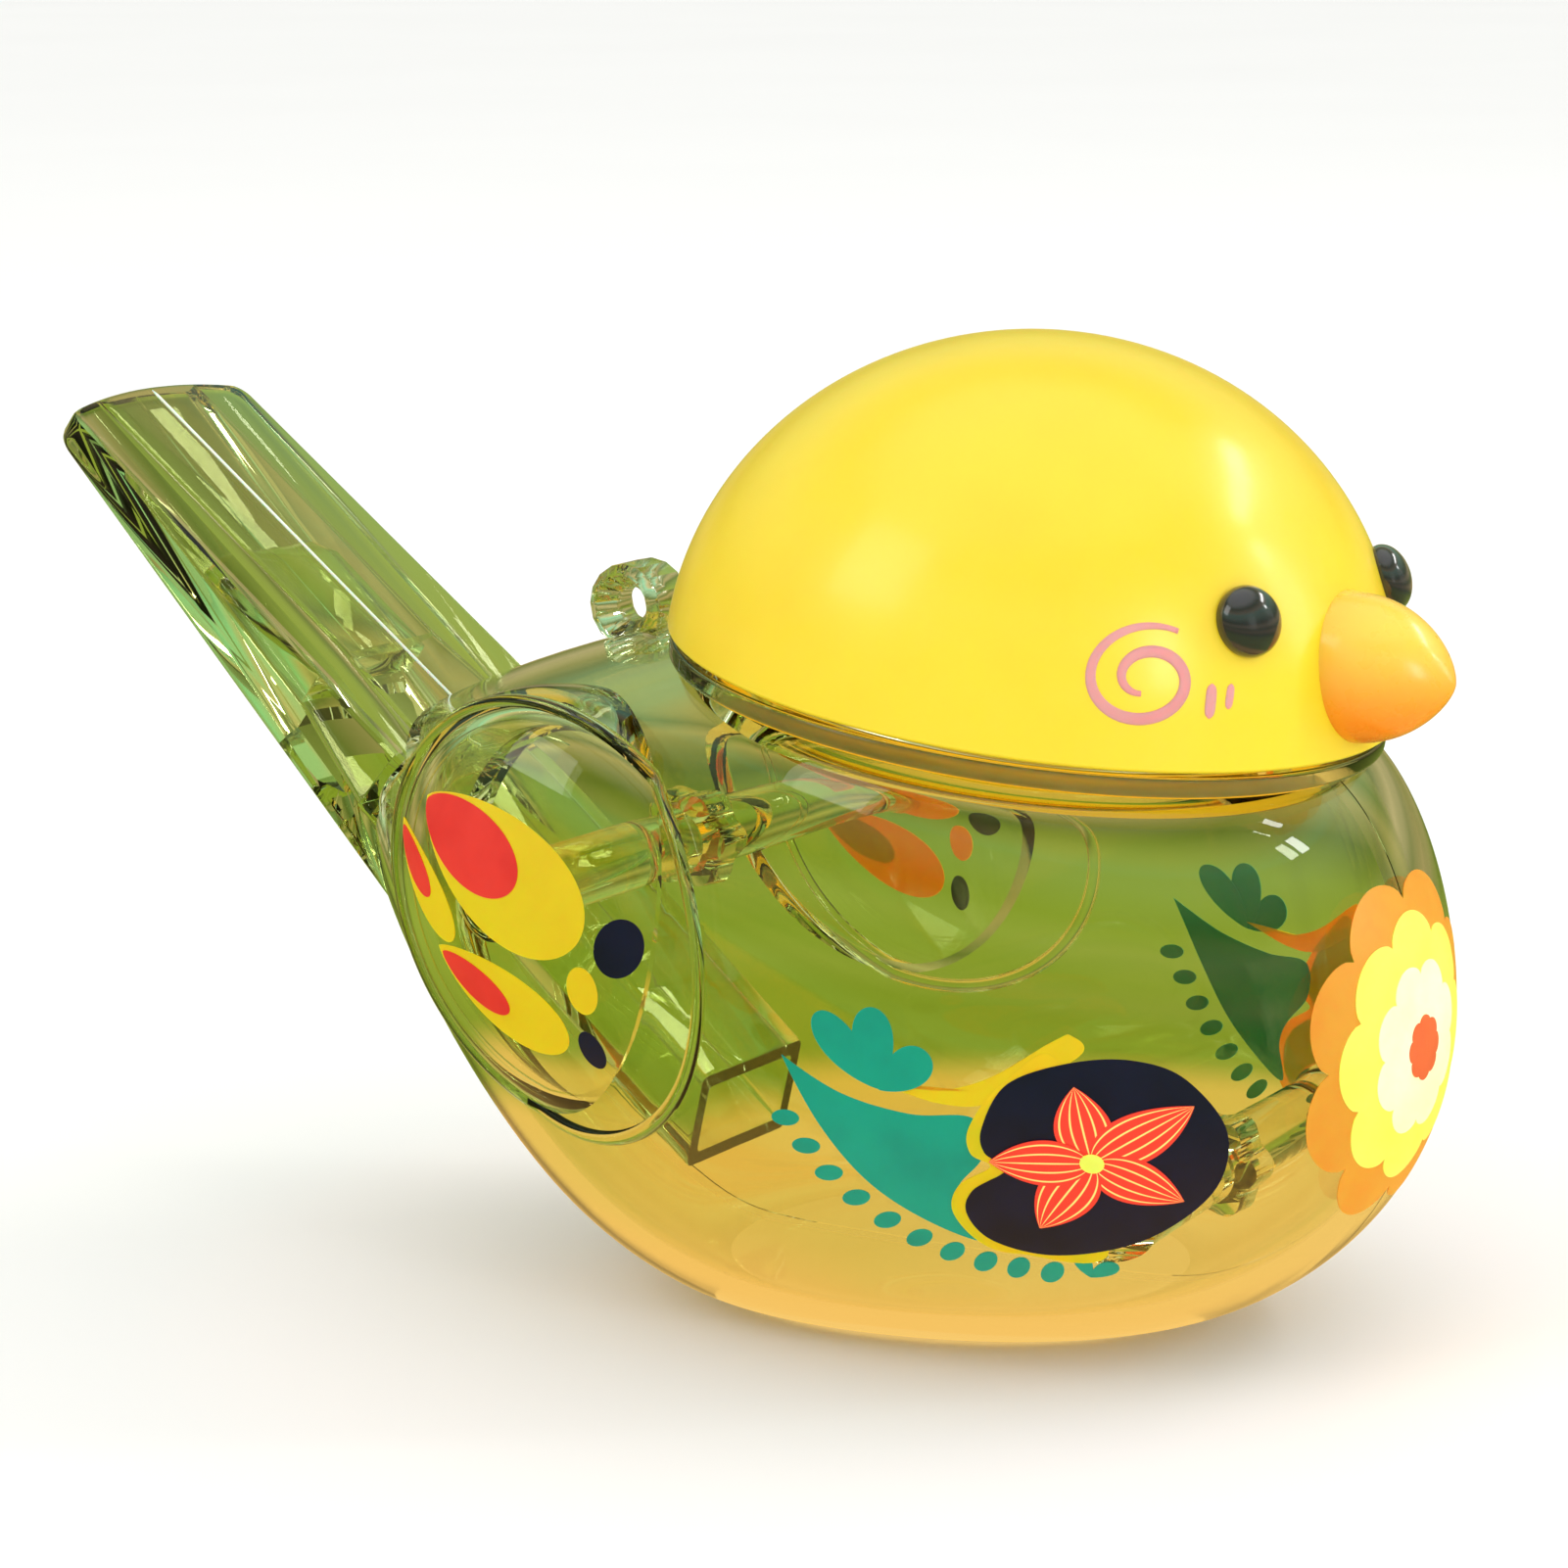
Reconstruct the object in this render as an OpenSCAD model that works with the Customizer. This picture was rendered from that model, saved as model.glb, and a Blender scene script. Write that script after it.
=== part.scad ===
// Bird water whistle: two clear half shells joined on the bird's centre plane, with a lift-off head.
// +X points forward (beak), +Y to the bird's left, +Z up. The origin is the centre of the flat base.

/* [Body shell] */
// Wall thickness of both half shells
wall = 1.8; // [1.5:0.1:2.2]
// Half length of the round bowl, front to back
bowl_half_x = 29.7; // [28:0.1:31]
// Half width of the round bowl
bowl_half_y = 24.9; // [24:0.1:26]
// Half height of the round bowl
bowl_half_z = 22.6; // [21.5:0.1:23.5]
// Height of the bowl's centre above the base
bowl_z = 20.6; // [20:0.1:21.2]
// How tightly the skin is drawn over the bowl, belly, neck and tail root
skin_tension = 14; // [10:1:20]
// Facets around the skin
skin_steps = 48; // [32:4:60]

/* [Wing pods] */
// Half length of a wing pod along its own slant
pod_half_len = 14.6; // [13.5:0.1:15]
// Half breadth of a wing pod across its slant
pod_half_wide = 11.9; // [11:0.1:12.5]
// Slant of the pods, rising toward the tail, in degrees
pod_slant = 51; // [45:1:56]
// Distance of the pod rim from the centre plane
pod_y = 19.2; // [18.5:0.1:20]
// How far a pod swells beyond its rim
pod_swell = 6.2; // [5:0.1:7]

/* [Neck and collar] */
// Forward lean of the neck, in degrees
neck_tilt = 8.7; // [7:0.1:10]
// Bore radius of the collar that takes the seal
bore_r = 19.0; // [18.5:0.1:19.4]
// Radius of the collar flange under the head
flange_r = 22.4; // [22:0.1:22.8]

/* [Tail mouthpiece] */
// Rise of the tail's top face, in degrees
tail_rise = 37.5; // [36:0.5:39]
// Width of the tail at its blowing end
tail_tip_w = 18.4; // [17.4:0.2:19]
// Width of the tail where it enters the body
tail_root_w = 19.6; // [19:0.2:20.4]
// Thickness of the tail at its blowing end
tail_tip_h = 2.3; // [2.2:0.05:2.6]
// Thickness of the tail at its buried root
tail_root_h = 9.4; // [9:0.1:9.8]

/* [Joining posts] */
// Outer radius of the post tubes
post_r = 1.9; // [1.7:0.1:2.2]
// Radius of the pin inside its socket
pin_r = 1.15; // [1:0.05:1.3]

/* [Head] */
// Radius of the head at its rim
head_r = 22.7; // [22.4:0.1:23]
// Height of the head above the neck centre
head_h = 21.1; // [20:0.1:22]
// Wall thickness of the head
head_wall = 1.6; // [1.4:0.1:2]
// Radius of the beak at its root
beak_r = 4.5; // [4:0.1:4.8]
// Length of the beak beyond the head
beak_len = 6.6; // [6:0.1:7.2]
// Radius of each eye bead
eye_r = 2.15; // [1.9:0.05:2.4]

/* [Lanyard ring] */
// Outer radius of the ring
ring_r = 2.75; // [2.6:0.05:3]
// Radius of the hole
ring_hole_r = 1.1; // [1:0.05:1.2]
// Thickness of the ring
ring_t = 4.4; // [4:0.1:5]

/* [Hidden] */

clear_green = [0.72, 0.80, 0.42, 0.5];
pale_green = [0.80, 0.88, 0.66, 0.6];
sun_yellow = [0.97, 0.90, 0.30];
orange = [1.0, 0.65, 0.15];
bead_black = [0.10, 0.10, 0.11];

neck_at = [3.0, 0, 40.2];
heart = [-4, 0, 19];                  // point inside every blob, from which the skin is drawn
tail_tip = [-67.15, 0, 54.25];        // middle of the top face's blowing edge
tail_len = 46;
duct_rise = 41;
duct_from = [-66.95, 0, 51.85];       // the sound duct's axis starts here, above its own end
flange_t = 1.2;
gap = 0.3;                            // air between the head and the collar
eps = 0.01;

// ---- placing ----
module on_neck() { translate(neck_at) rotate([0, neck_tilt, 0]) children(); }
// local +X runs down the tail from its tip, and the top face lies at local Z = 0
module on_tail() { translate(tail_tip) rotate([0, tail_rise, 0]) children(); }
module on_duct() { translate(duct_from) rotate([0, duct_rise, 0]) children(); }
module on_head() { translate(neck_at) rotate([0, -1, 0]) children(); }
module half(side) {
    intersection() {
        children();
        translate([-100, side > 0 ? 0 : -60, -5]) cube([160, 60, 100]);
    }
}

// ---- skin: a smooth cover drawn over ellipsoid blobs ----
// A blob is [centre, half sizes, nose-down turn]. For an outward direction m, each blob has a farthest
// point and a reach along m; the skin point is the sum of the farthest points, weighted by how far
// each blob reaches compared with all of them.
function dir(a, b) = [cos(b) * cos(a), cos(b) * sin(a), sin(b)];
function turn(v, t) = [v.x * cos(t) + v.z * sin(t), v.y, v.z * cos(t) - v.x * sin(t)];
function scaled(v, s) = [v.x * s.x, v.y * s.y, v.z * s.z];
function far_point(m, blob, from) =
    let (q = scaled(turn(m, -blob[2]), blob[1]), n = norm(q))
    blob[0] - from + turn(scaled(q / n, blob[1]), blob[2]);
function skin_point(m, blobs, from, k, inset) =
    let (pts = [for (b = blobs) far_point(m, b, from)],
         reach = [for (p = pts) max(p * m, 0.001)],
         big = max(reach),
         all = big * pow([for (r = reach) pow(r / big, k)] * [for (r = reach) 1], 1 / k),
         w = [for (r = reach) pow(r / all, k - 1)])
    from + w * pts - inset * m;
module skin(blobs, from, k, inset, nu, nv) {
    rings = [for (j = [1 : nv - 1]) -90 + 180 * j / nv];
    pts = concat([skin_point([0, 0, -1], blobs, from, k, inset)],
        [for (b = rings, i = [0 : nu - 1]) skin_point(dir(360 * i / nu, b), blobs, from, k, inset)],
        [skin_point([0, 0, 1], blobs, from, k, inset)]);
    top = 1 + (nv - 1) * nu;
    faces = concat(
        [for (i = [0 : nu - 1]) [0, 1 + i, 1 + (i + 1) % nu]],
        [for (j = [0 : nv - 3], i = [0 : nu - 1])
            let (a = 1 + j * nu + i, b = 1 + j * nu + (i + 1) % nu) each [[a, a + nu, b], [b, a + nu, b + nu]]],
        [for (i = [0 : nu - 1]) [top - nu + i, top, top - nu + (i + 1) % nu]]);
    hull() polyhedron(pts, faces);
}
body_blobs = [
    [[0.4, 0, bowl_z], [bowl_half_x, bowl_half_y, bowl_half_z], neck_tilt],   // bowl
    [[-15.2, 0, 10.9], [20.8, 20.4, 11.0], 30],                               // belly toward the tail
    [[-40, 0, 28], [6.5, 8.6, 5], duct_rise],                                 // tail root
    [[2.6, 0, 37.7], [21.6, 21.6, 1], neck_tilt]];                            // neck
module body_skin(inset) {
    intersection() {
        skin(body_blobs, heart, skin_tension, inset, skin_steps, 24);
        translate([-60, -40, inset]) cube([120, 80, 60]);
    }
}
module pod_skin(side, inset) {
    slim = 1.6;
    blobs = [
        [[-18, side * 11, 26.2], [pod_half_len - slim, 6, pod_half_wide - slim], pod_slant],
        [[-18, side * pod_y, 26.2], [pod_half_len, pod_swell, pod_half_wide], pod_slant]];
    skin(blobs, [-18, side * 14, 26.2], 16, inset, 36, 16);
}

// ---- tail ----
// A rounded bar between two end sections, each [distance along, width, height, height of its middle]
module bar_end(e, r) {
    for (y = [-1, 1], z = [-1, 1])
        translate([e[0], y * (e[1] / 2 - r), e[3] + z * (e[2] / 2 - r)])
            rotate([0, 90, 0]) cylinder(r = r, h = 0.5, $fn = 16);
}
module bar(ends, r = 0.5) { hull() for (e = ends) bar_end(e, r); }
// A wedge: flat top face, bottom face falling away, and a gently bowed blowing edge with round corners
module tail_outside() {
    bow = 34;
    hull() {
        translate([tail_len, -tail_root_w / 2, -tail_root_h]) cube([0.5, tail_root_w, tail_root_h]);
        translate([0, 0, -tail_tip_h]) linear_extrude(tail_tip_h) {
            polygon([for (i = [-8 : 8]) let (y = i * (tail_tip_w / 2 - 1.6) / 8) [bow - sqrt(bow * bow - y * y), y]]);
            for (y = [-1, 1]) translate([2.6, y * (tail_tip_w / 2 - 1.8)]) circle(r = 1.8, $fn = 32);
        }
    }
}
channel_end = [26.4, 10, 4, -2.9];
module half_shell(side) {
    half(side) difference() {
        union() {
            body_skin(0);
            pod_skin(side, 0);
            on_tail() tail_outside();
        }
        body_skin(wall);
        pod_skin(side, wall);
        // everything above the collar seat, and the seat bored for the collar tube
        on_neck() translate([-40, -40, -1.5]) cube([80, 80, 60]);
        on_neck() translate([0, 0, -3.8]) cylinder(r = bore_r + 1.45, h = 30, $fn = 72);
        on_tail() {
            bar([[-1, 10.4, 1.1, -1.15], channel_end]);            // blowing channel
            // window under the tail, its far side sloped to a sharp lip
            hull() {
                translate([27, -4.2, -5]) cube([2.6, 8.4, 1]);
                translate([27, -4.2, -9]) cube([6.4, 8.4, 1]);
            }
        }
        // throat between the channel and the seat of the sound duct
        hull() {
            on_tail() bar_end(channel_end, 0.5);
            on_duct() bar_end([33, 11.8, 6, 0], 0.5);
        }
        on_duct() bar([[32.8, 11.8, 6, 0], [47, 11.8, 6, 0]]);
    }
}
module shell_right() { color(clear_green) half_shell(-1); }
module shell_left() { color(clear_green) half_shell(1); }

module fipple_block() {
    // wedge on the channel floor: a sloped entry squeezes the breath into the slit above it
    color(clear_green) on_tail() rotate([90, 0, 0]) linear_extrude(9.9, center = true)
        polygon([[15, -3.4], [26.4, -4.8], [26.4, -2.05], [17, -1.85], [15, -2.8]]);
}
module sound_duct() {
    color(pale_green) on_duct() difference() {
        translate([34, -5.8, -2.9]) cube([33, 11.6, 5.8]);
        translate([33, -4.7, -2.05]) cube([35, 9.4, 4.1]);
        // slanted mouth near the floor
        translate([61.5, -7, -6]) rotate([0, -28, 0]) translate([5.5, 0, -6]) cube([12, 14, 20]);
    }
}

// ---- neck ----
module neck_collar() {
    color(pale_green) on_neck() rotate_extrude($fn = 120) polygon([
        [bore_r, -3.6], [bore_r + 1.4, -3.6], [bore_r + 1.4, -0.15 - flange_t - 0.1],
        [flange_r, -0.15 - flange_t - 0.1], [flange_r, -0.45], [flange_r - 0.3, -0.15],
        [bore_r + 0.5, -0.15], [bore_r, -0.65]]);
}
module lanyard_ring() {
    color(clear_green) translate([-26.2, 0, 42.2]) rotate([90, 0, 0])
        difference() {
            rotate_extrude($fn = 64) translate([0, -ring_t / 2]) polygon([
                [0, 0], [ring_r - 0.5, 0], [ring_r, 0.5], [ring_r, ring_t - 0.5],
                [ring_r - 0.5, ring_t], [0, ring_t]]);
            cylinder(r = ring_hole_r, h = ring_t + 2, center = true, $fn = 48);
        }
}

// ---- joining posts: a socket tube on the right shell, a stepped pin on the left one ----
rear_post = [-21.2, 27.4, 23.7];      // x, z, reach from the centre plane
front_post = [17, 10.9, 16.0];
module post_socket(p) {
    translate([p[0], 0, p[1]]) rotate([90, 0, 0]) difference() {
        union() {
            cylinder(r = post_r, h = p[2], $fn = 48);
            cylinder(r = post_r + 1.1, h = 3, $fn = 48);
        }
        translate([0, 0, -1]) cylinder(r = pin_r + 0.05, h = 9, $fn = 48);
    }
}
module post_pin(p) {
    translate([p[0], 0, p[1]]) rotate([-90, 0, 0]) {
        translate([0, 0, 0.1]) cylinder(r = post_r, h = p[2] - 0.1, $fn = 48);
        translate([0, 0, -7]) cylinder(r = pin_r, h = 8, $fn = 48);
    }
}
module rear_post_socket() { color(pale_green) post_socket(rear_post); }
module rear_post_pin() { color(pale_green) post_pin(rear_post); }
module front_post_socket() { color(pale_green) post_socket(front_post); }
module front_post_pin() { color(pale_green) post_pin(front_post); }

// ---- head ----
module head_solid(inset) {
    n = 24;
    on_head() rotate_extrude($fn = 120) polygon(concat(
        [[0, -6], [head_r - inset, -6]],
        [for (i = [0 : n]) let (a = 90 * i / n)
            [max((head_r - inset) * cos(a), 0), (head_h - inset) * sin(a)]]));
}
module head_dome() {
    color(sun_yellow) difference() {
        head_solid(0);
        head_solid(head_wall);
        on_neck() translate([-40, -40, -30 + gap / 2]) cube([80, 80, 30]);
        place_beak() cylinder(r = 1.55, h = 12, center = true, $fn = 32);
        for (s = [-1, 1]) place_eye(s) cylinder(r = 0.85, h = 12, center = true, $fn = 32);
    }
}
module place_beak() { translate([25.2, 0, 42.3]) rotate([0, 95, 0]) children(); }
module place_eye(side) {
    on_head() rotate([0, 0, side * 25]) translate([21.9, 0, 5.6]) rotate([0, 90 - 16.8, 0]) children();
}
module beak() {
    n = 10;
    color(orange) {
        difference() {
            place_beak() rotate_extrude($fn = 72) polygon(concat(
                [[0, -2], [beak_r, -2]],
                [for (i = [0 : n]) let (t = i / n)
                    [beak_r * pow(max(1 - pow(t, 2.1), 0), 0.72), beak_len * t]]));
            head_solid(-0.02);
        }
        place_beak() translate([0, 0, -2.6]) cylinder(r = 1.5, h = 3.4, $fn = 32);
    }
}
module eye_bead(side) {
    n = 8;
    rise = 1.5;
    color(bead_black) place_eye(side) {
        rotate_extrude($fn = 48) polygon(concat(
            [[0, 0.22]],
            [for (i = [0 : n]) let (a = 90 * i / n) [max(eye_r * cos(a), 0), 0.22 + rise * sin(a)]]));
        translate([0, 0, -2.2]) cylinder(r = 0.8, h = 2.6, $fn = 32);
    }
}
module eye_right() { eye_bead(-1); }
module eye_left() { eye_bead(1); }

// Plug under the head: a disc that carries the dome, and a skirt with the groove for the seal
module head_plug() {
    color(sun_yellow) on_neck() rotate_extrude($fn = 120) polygon([
        [0, 0.5], [16.4, 0.5], [16.4, -3.9], [18.0, -3.9], [18.4, -3.5], [18.4, -2.75], [17.4, -2.75],
        [17.4, -1.15], [18.4, -1.15], [18.4, 0.4], [20.7, 0.4], [20.7, 2.2], [0, 2.2]]);
}
module seal_ring() {
    color([0.9, 0.9, 0.86]) on_neck() translate([0, 0, -1.95])
        rotate_extrude($fn = 120) translate([18.2, 0]) circle(r = 0.75, $fn = 32);
}

shell_right();
shell_left();
neck_collar();
lanyard_ring();
rear_post_socket();
rear_post_pin();
front_post_socket();
front_post_pin();
fipple_block();
sound_duct();
head_plug();
seal_ring();
head_dome();
beak();
eye_right();
eye_left();
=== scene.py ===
"""Looks of the bird water whistle: clear tinted shells, a yellow lift-off head and screen-printed pictures.

Sizes are in millimetres in the dataclass fields and become metres when a mesh is made.
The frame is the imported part's own: +X to the beak, +Y to the bird's left, +Z up, base at height 0.
"""

import logging
import math
from dataclasses import dataclass, field
from enum import Enum

import bpy
import numpy as np
from mathutils import Matrix, Vector


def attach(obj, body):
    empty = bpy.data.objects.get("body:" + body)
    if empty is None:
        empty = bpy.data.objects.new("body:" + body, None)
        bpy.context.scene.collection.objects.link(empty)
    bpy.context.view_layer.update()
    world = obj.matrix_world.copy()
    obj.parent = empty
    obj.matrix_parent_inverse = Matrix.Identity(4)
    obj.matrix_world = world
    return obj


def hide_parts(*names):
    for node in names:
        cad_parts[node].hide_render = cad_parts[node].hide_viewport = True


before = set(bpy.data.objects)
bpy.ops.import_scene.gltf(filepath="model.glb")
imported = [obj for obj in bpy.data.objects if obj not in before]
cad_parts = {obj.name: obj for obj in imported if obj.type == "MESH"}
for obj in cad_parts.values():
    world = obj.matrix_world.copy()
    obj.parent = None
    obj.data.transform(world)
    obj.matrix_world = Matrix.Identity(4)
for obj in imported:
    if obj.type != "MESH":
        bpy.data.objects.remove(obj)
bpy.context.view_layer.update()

logging.basicConfig(level=logging.INFO, format="%(message)s")
LOG = logging.getLogger("whistle")

MM = 0.001
PRESS_FROM = 60.0
BOTTLE = "bottle"
HEAD = "head"

Points = np.ndarray
Triple = tuple[float, float, float]
Colour = tuple[float, float, float, float]
Pair = tuple[float, float]


class Side(Enum):
    """The two sides of the bird, valued by the sign of their Y."""

    RIGHT = -1
    LEFT = 1

    @property
    def word(self) -> str:
        """The side's name in lower case, for piece names."""
        return self.name.lower()


class Join(Enum):
    """What combining two solids does, valued by the Boolean modifier's word for it."""

    ADD = "UNION"
    CUT = "DIFFERENCE"
    SHARE = "INTERSECT"


class Axis(Enum):
    """The axis that flat art is pressed along: Y for art in (X, Z), X for art in (Y, Z)."""

    X = 0
    Y = 1


# ---------------------------------------------------------------- places and curves


def nose_down(degrees: float) -> Points:
    """The turn about Y that lowers the nose: its columns are the turned X, Y and Z axes."""
    c, s = math.cos(math.radians(degrees)), math.sin(math.radians(degrees))
    return np.array([[c, 0.0, s], [0.0, 1.0, 0.0], [-s, 0.0, c]])


def swing(degrees: float) -> Points:
    """The turn about Z toward the left side."""
    c, s = math.cos(math.radians(degrees)), math.sin(math.radians(degrees))
    return np.array([[c, -s, 0.0], [s, c, 0.0], [0.0, 0.0, 1.0]])


@dataclass(frozen=True)
class Place:
    """A local frame of one sub-assembly: where it starts, and how far its nose is turned down."""

    origin: Triple
    turn: float = 0.0

    def put(self, points: Points) -> Points:
        """Local points moved into the bird's frame: turned about Y, then shifted to the origin."""
        return points @ nose_down(self.turn).T + np.array(self.origin)


Section = tuple[Place, tuple[float, float, float, float]]


def circle_angles(count: int) -> Points:
    """Evenly spaced angles once round, in radians, without the repeated last one."""
    return np.linspace(0.0, 2.0 * np.pi, count, endpoint=False)


def rounded(corners: list[Pair], radius: float, steps: int = 4) -> Points:
    """A closed outline with each corner eased by a quadratic curve.

    Each corner is replaced by the curve from a point `radius` before it to a point `radius` after it,
    pulled toward the corner: (1-t)^2 before + 2t(1-t) corner + t^2 after. A short side eases less.

    Args:
        corners: the outline's corners in order.
        radius: distance from a corner at which the easing starts.
        steps: spans of the curve at each corner.

    Returns:
        The outline's points, one row each.
    """
    corner = np.array(corners, float)
    to_last, to_next = np.roll(corner, 1, 0) - corner, np.roll(corner, -1, 0) - corner
    last_len = np.linalg.norm(to_last, axis=1, keepdims=True)
    next_len = np.linalg.norm(to_next, axis=1, keepdims=True)
    before = corner + to_last / last_len * np.minimum(radius, 0.45 * last_len)
    after = corner + to_next / next_len * np.minimum(radius, 0.45 * next_len)
    t = np.linspace(0.0, 1.0, steps + 1)[None, :, None]
    eased = (1 - t) ** 2 * before[:, None] + 2 * t * (1 - t) * corner[:, None] + t**2 * after[:, None]
    return eased.reshape(-1, 2)


def smooth_loop(knots: list[Pair], per_span: int = 10) -> Points:
    """A closed smooth outline through a few knots.

    Between two knots it is the cubic that leaves and arrives along half the chord of the neighbours
    on each side (Catmull-Rom). A knot given twice in a row makes a sharp point there.

    Args:
        knots: the outline's few knots in order.
        per_span: points made between two knots.

    Returns:
        The outline's points, one row each.
    """
    knot = np.array(knots, float)
    slope = (np.roll(knot, -1, 0) - np.roll(knot, 1, 0)) / 2
    same_next = np.all(knot == np.roll(knot, -1, 0), axis=1)
    slope[same_next | np.roll(same_next, 1)] = 0.0
    t = np.linspace(0.0, 1.0, per_span, endpoint=False)[None, :, None]
    a, b = knot[:, None], np.roll(knot, -1, 0)[:, None]
    u, v = slope[:, None], np.roll(slope, -1, 0)[:, None]
    curve = (
        (2 * t**3 - 3 * t**2 + 1) * a
        + (t**3 - 2 * t**2 + t) * u
        + (3 * t**2 - 2 * t**3) * b
        + (t**3 - t**2) * v
    )
    return curve[~same_next].reshape(-1, 2)


def smooth_line(knots: list[tuple[float, ...]], count: int) -> Points:
    """An open smooth line through a few knots, by the same cubic as `smooth_loop`."""
    knot = np.array(knots, float)
    slope = np.gradient(knot, axis=0)
    t = np.linspace(0.0, len(knot) - 1.0, count)
    i = np.minimum(t.astype(int), len(knot) - 2)
    f = (t - i)[:, None]
    return (
        (2 * f**3 - 3 * f**2 + 1) * knot[i]
        + (f**3 - 2 * f**2 + f) * slope[i]
        + (3 * f**2 - 2 * f**3) * knot[i + 1]
        + (f**3 - f**2) * slope[i + 1]
    )


# ---------------------------------------------------------------- meshes


def grid_quads(rows: int, cols: int, ring_rows: bool, ring_cols: bool) -> Points:
    """Corner numbers of the quads of a grid of points, whose rows or columns may close on themselves."""
    i = np.arange(rows if ring_rows else rows - 1)[:, None]
    j = np.arange(cols if ring_cols else cols - 1)[None, :]
    i2, j2 = (i + 1) % rows, (j + 1) % cols
    corners = [i * cols + j, i * cols + j2, i2 * cols + j2, i2 * cols + j]
    return np.stack(corners, -1).reshape(-1, 4)


def enclosed_volume(points: Points, faces: list[Points]) -> float:
    """Signed volume inside a closed mesh: a sixth of the sum of corner triple products over its fans."""
    total = 0.0
    for group in faces:
        for k in range(1, group.shape[1] - 1):
            a, b, c = points[group[:, 0]], points[group[:, k]], points[group[:, k + 1]]
            total += float(np.einsum("ij,ij->i", a, np.cross(b, c)).sum())
    return total / 6.0


def add_to_scene(name: str, data: bpy.types.ID) -> bpy.types.Object:
    """A new object in the scene that carries the given mesh, light or camera."""
    made = bpy.data.objects.new(name, data)
    bpy.context.scene.collection.objects.link(made)
    return made


def make_object(name: str, points: Points, faces: list[Points], smooth: bool = True) -> bpy.types.Object:
    """A mesh object from millimetre points and face arrays, with its faces turned outward.

    Args:
        name: the piece's name.
        points: vertices in millimetres.
        faces: arrays of corner numbers, one array for each number of corners.
        smooth: shades across the faces.

    Returns:
        The new object, linked to the scene.
    """
    if enclosed_volume(points, faces) < 0:
        faces = [group[:, ::-1] for group in faces]
    mesh = bpy.data.meshes.new(name)
    listed = [face for group in faces for face in group.tolist()]
    mesh.from_pydata((points * MM).tolist(), [], listed)
    mesh.polygons.foreach_set("use_smooth", np.full(len(mesh.polygons), smooth))
    mesh.update()
    return add_to_scene(name, mesh)


def closed_skin(name: str, grid: Points, ends: tuple[Points, Points] | None = None) -> bpy.types.Object:
    """A closed mesh from a grid whose columns go round, with a fan of triangles at either end.

    Args:
        name: the piece's name.
        grid: rows by columns by 3, in millimetres.
        ends: the two pole points, or None for the middles of the end rows.

    Returns:
        The new object.
    """
    rows, cols = grid.shape[:2]
    poles = np.stack(ends) if ends is not None else np.stack([grid[0].mean(0), grid[-1].mean(0)])
    points = np.concatenate([grid.reshape(-1, 3), poles])
    first, last = rows * cols, rows * cols + 1
    j = np.arange(cols)
    j2 = (j + 1) % cols
    start = np.stack([np.full(cols, first), j2, j], -1)
    stop = np.stack([np.full(cols, last), j + (rows - 1) * cols, j2 + (rows - 1) * cols], -1)
    return make_object(name, points, [grid_quads(rows, cols, False, True), start, stop])


def closed_ring(name: str, grid: Points) -> bpy.types.Object:
    """A closed mesh from a grid whose rows and columns both close on themselves, like a tyre."""
    rows, cols = grid.shape[:2]
    return make_object(name, grid.reshape(-1, 3), [grid_quads(rows, cols, True, True)])


def turned(profile: Points, steps: int, lobes: Points | float = 0.0) -> Points:
    """A grid swept round the local Z axis: each profile point (radius, height) goes once round.

    Args:
        profile: radius and height pairs.
        steps: points round the axis.
        lobes: added to the radius at each angle, one value for each step.

    Returns:
        Profile by steps by 3.
    """
    angle = circle_angles(steps)
    radius = profile[:, :1] + lobes
    height = np.broadcast_to(profile[:, 1:], radius.shape if radius.shape[1] > 1 else (len(profile), steps))
    return np.stack([radius * np.cos(angle), radius * np.sin(angle), height], -1)


def prism(name: str, outline: Points, half_width: float, place: Place) -> bpy.types.Object:
    """A flat-sided bar: a closed outline in the local X-Z plane, drawn out both ways along Y."""
    count = len(outline)
    x, y, z = np.broadcast_arrays(outline[:, 0], np.array([[-half_width], [half_width]]), outline[:, 1])
    layers = np.stack([x, y, z], -1)
    points = place.put(layers.reshape(-1, 3))
    caps = np.stack([np.arange(count)[::-1], np.arange(count) + count])
    return make_object(name, points, [grid_quads(2, count, False, True), caps], smooth=False)


def bar_ring(width: float, height: float, middle: float, radius: float, per_corner: int = 5) -> Points:
    """The (Y, Z) outline of a rounded rectangle: each quarter circle sits at its own corner centre."""
    quarter = np.linspace(0.0, np.pi / 2, per_corner)
    angle = np.concatenate([quarter + k * np.pi / 2 for k in range(4)])
    corner = np.repeat(np.array([[1, 1], [-1, 1], [-1, -1], [1, -1]]), per_corner, axis=0)
    reach = np.array([width / 2 - radius, height / 2 - radius])
    ring = corner * reach + radius * np.stack([np.cos(angle), np.sin(angle)], -1)
    return ring + np.array([0.0, middle])


def apply_modifiers(obj: bpy.types.Object) -> None:
    """Replaces the object's mesh by what its modifiers make of it."""
    graph = bpy.context.evaluated_depsgraph_get()
    mesh = bpy.data.meshes.new_from_object(obj.evaluated_get(graph), depsgraph=graph)
    obj.modifiers.clear()
    old, obj.data = obj.data, mesh
    mesh.name = obj.name
    bpy.data.meshes.remove(old)


def combine(base: bpy.types.Object, tool: bpy.types.Object, how: Join) -> None:
    """Adds a solid to another, cuts it away or keeps what both share, and removes the tool.

    Args:
        base: the solid that is changed.
        tool: the solid that is added, cut away or shared.
        how: what the step does.
    """
    step = base.modifiers.new("combine", "BOOLEAN")
    step.operation, step.object, step.solver = how.value, tool, "MANIFOLD"
    apply_modifiers(base)
    discard(tool)


def discard(obj: bpy.types.Object) -> None:
    """Removes a helper object with its mesh."""
    mesh = obj.data
    bpy.data.objects.remove(obj)
    bpy.data.meshes.remove(mesh)


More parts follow.
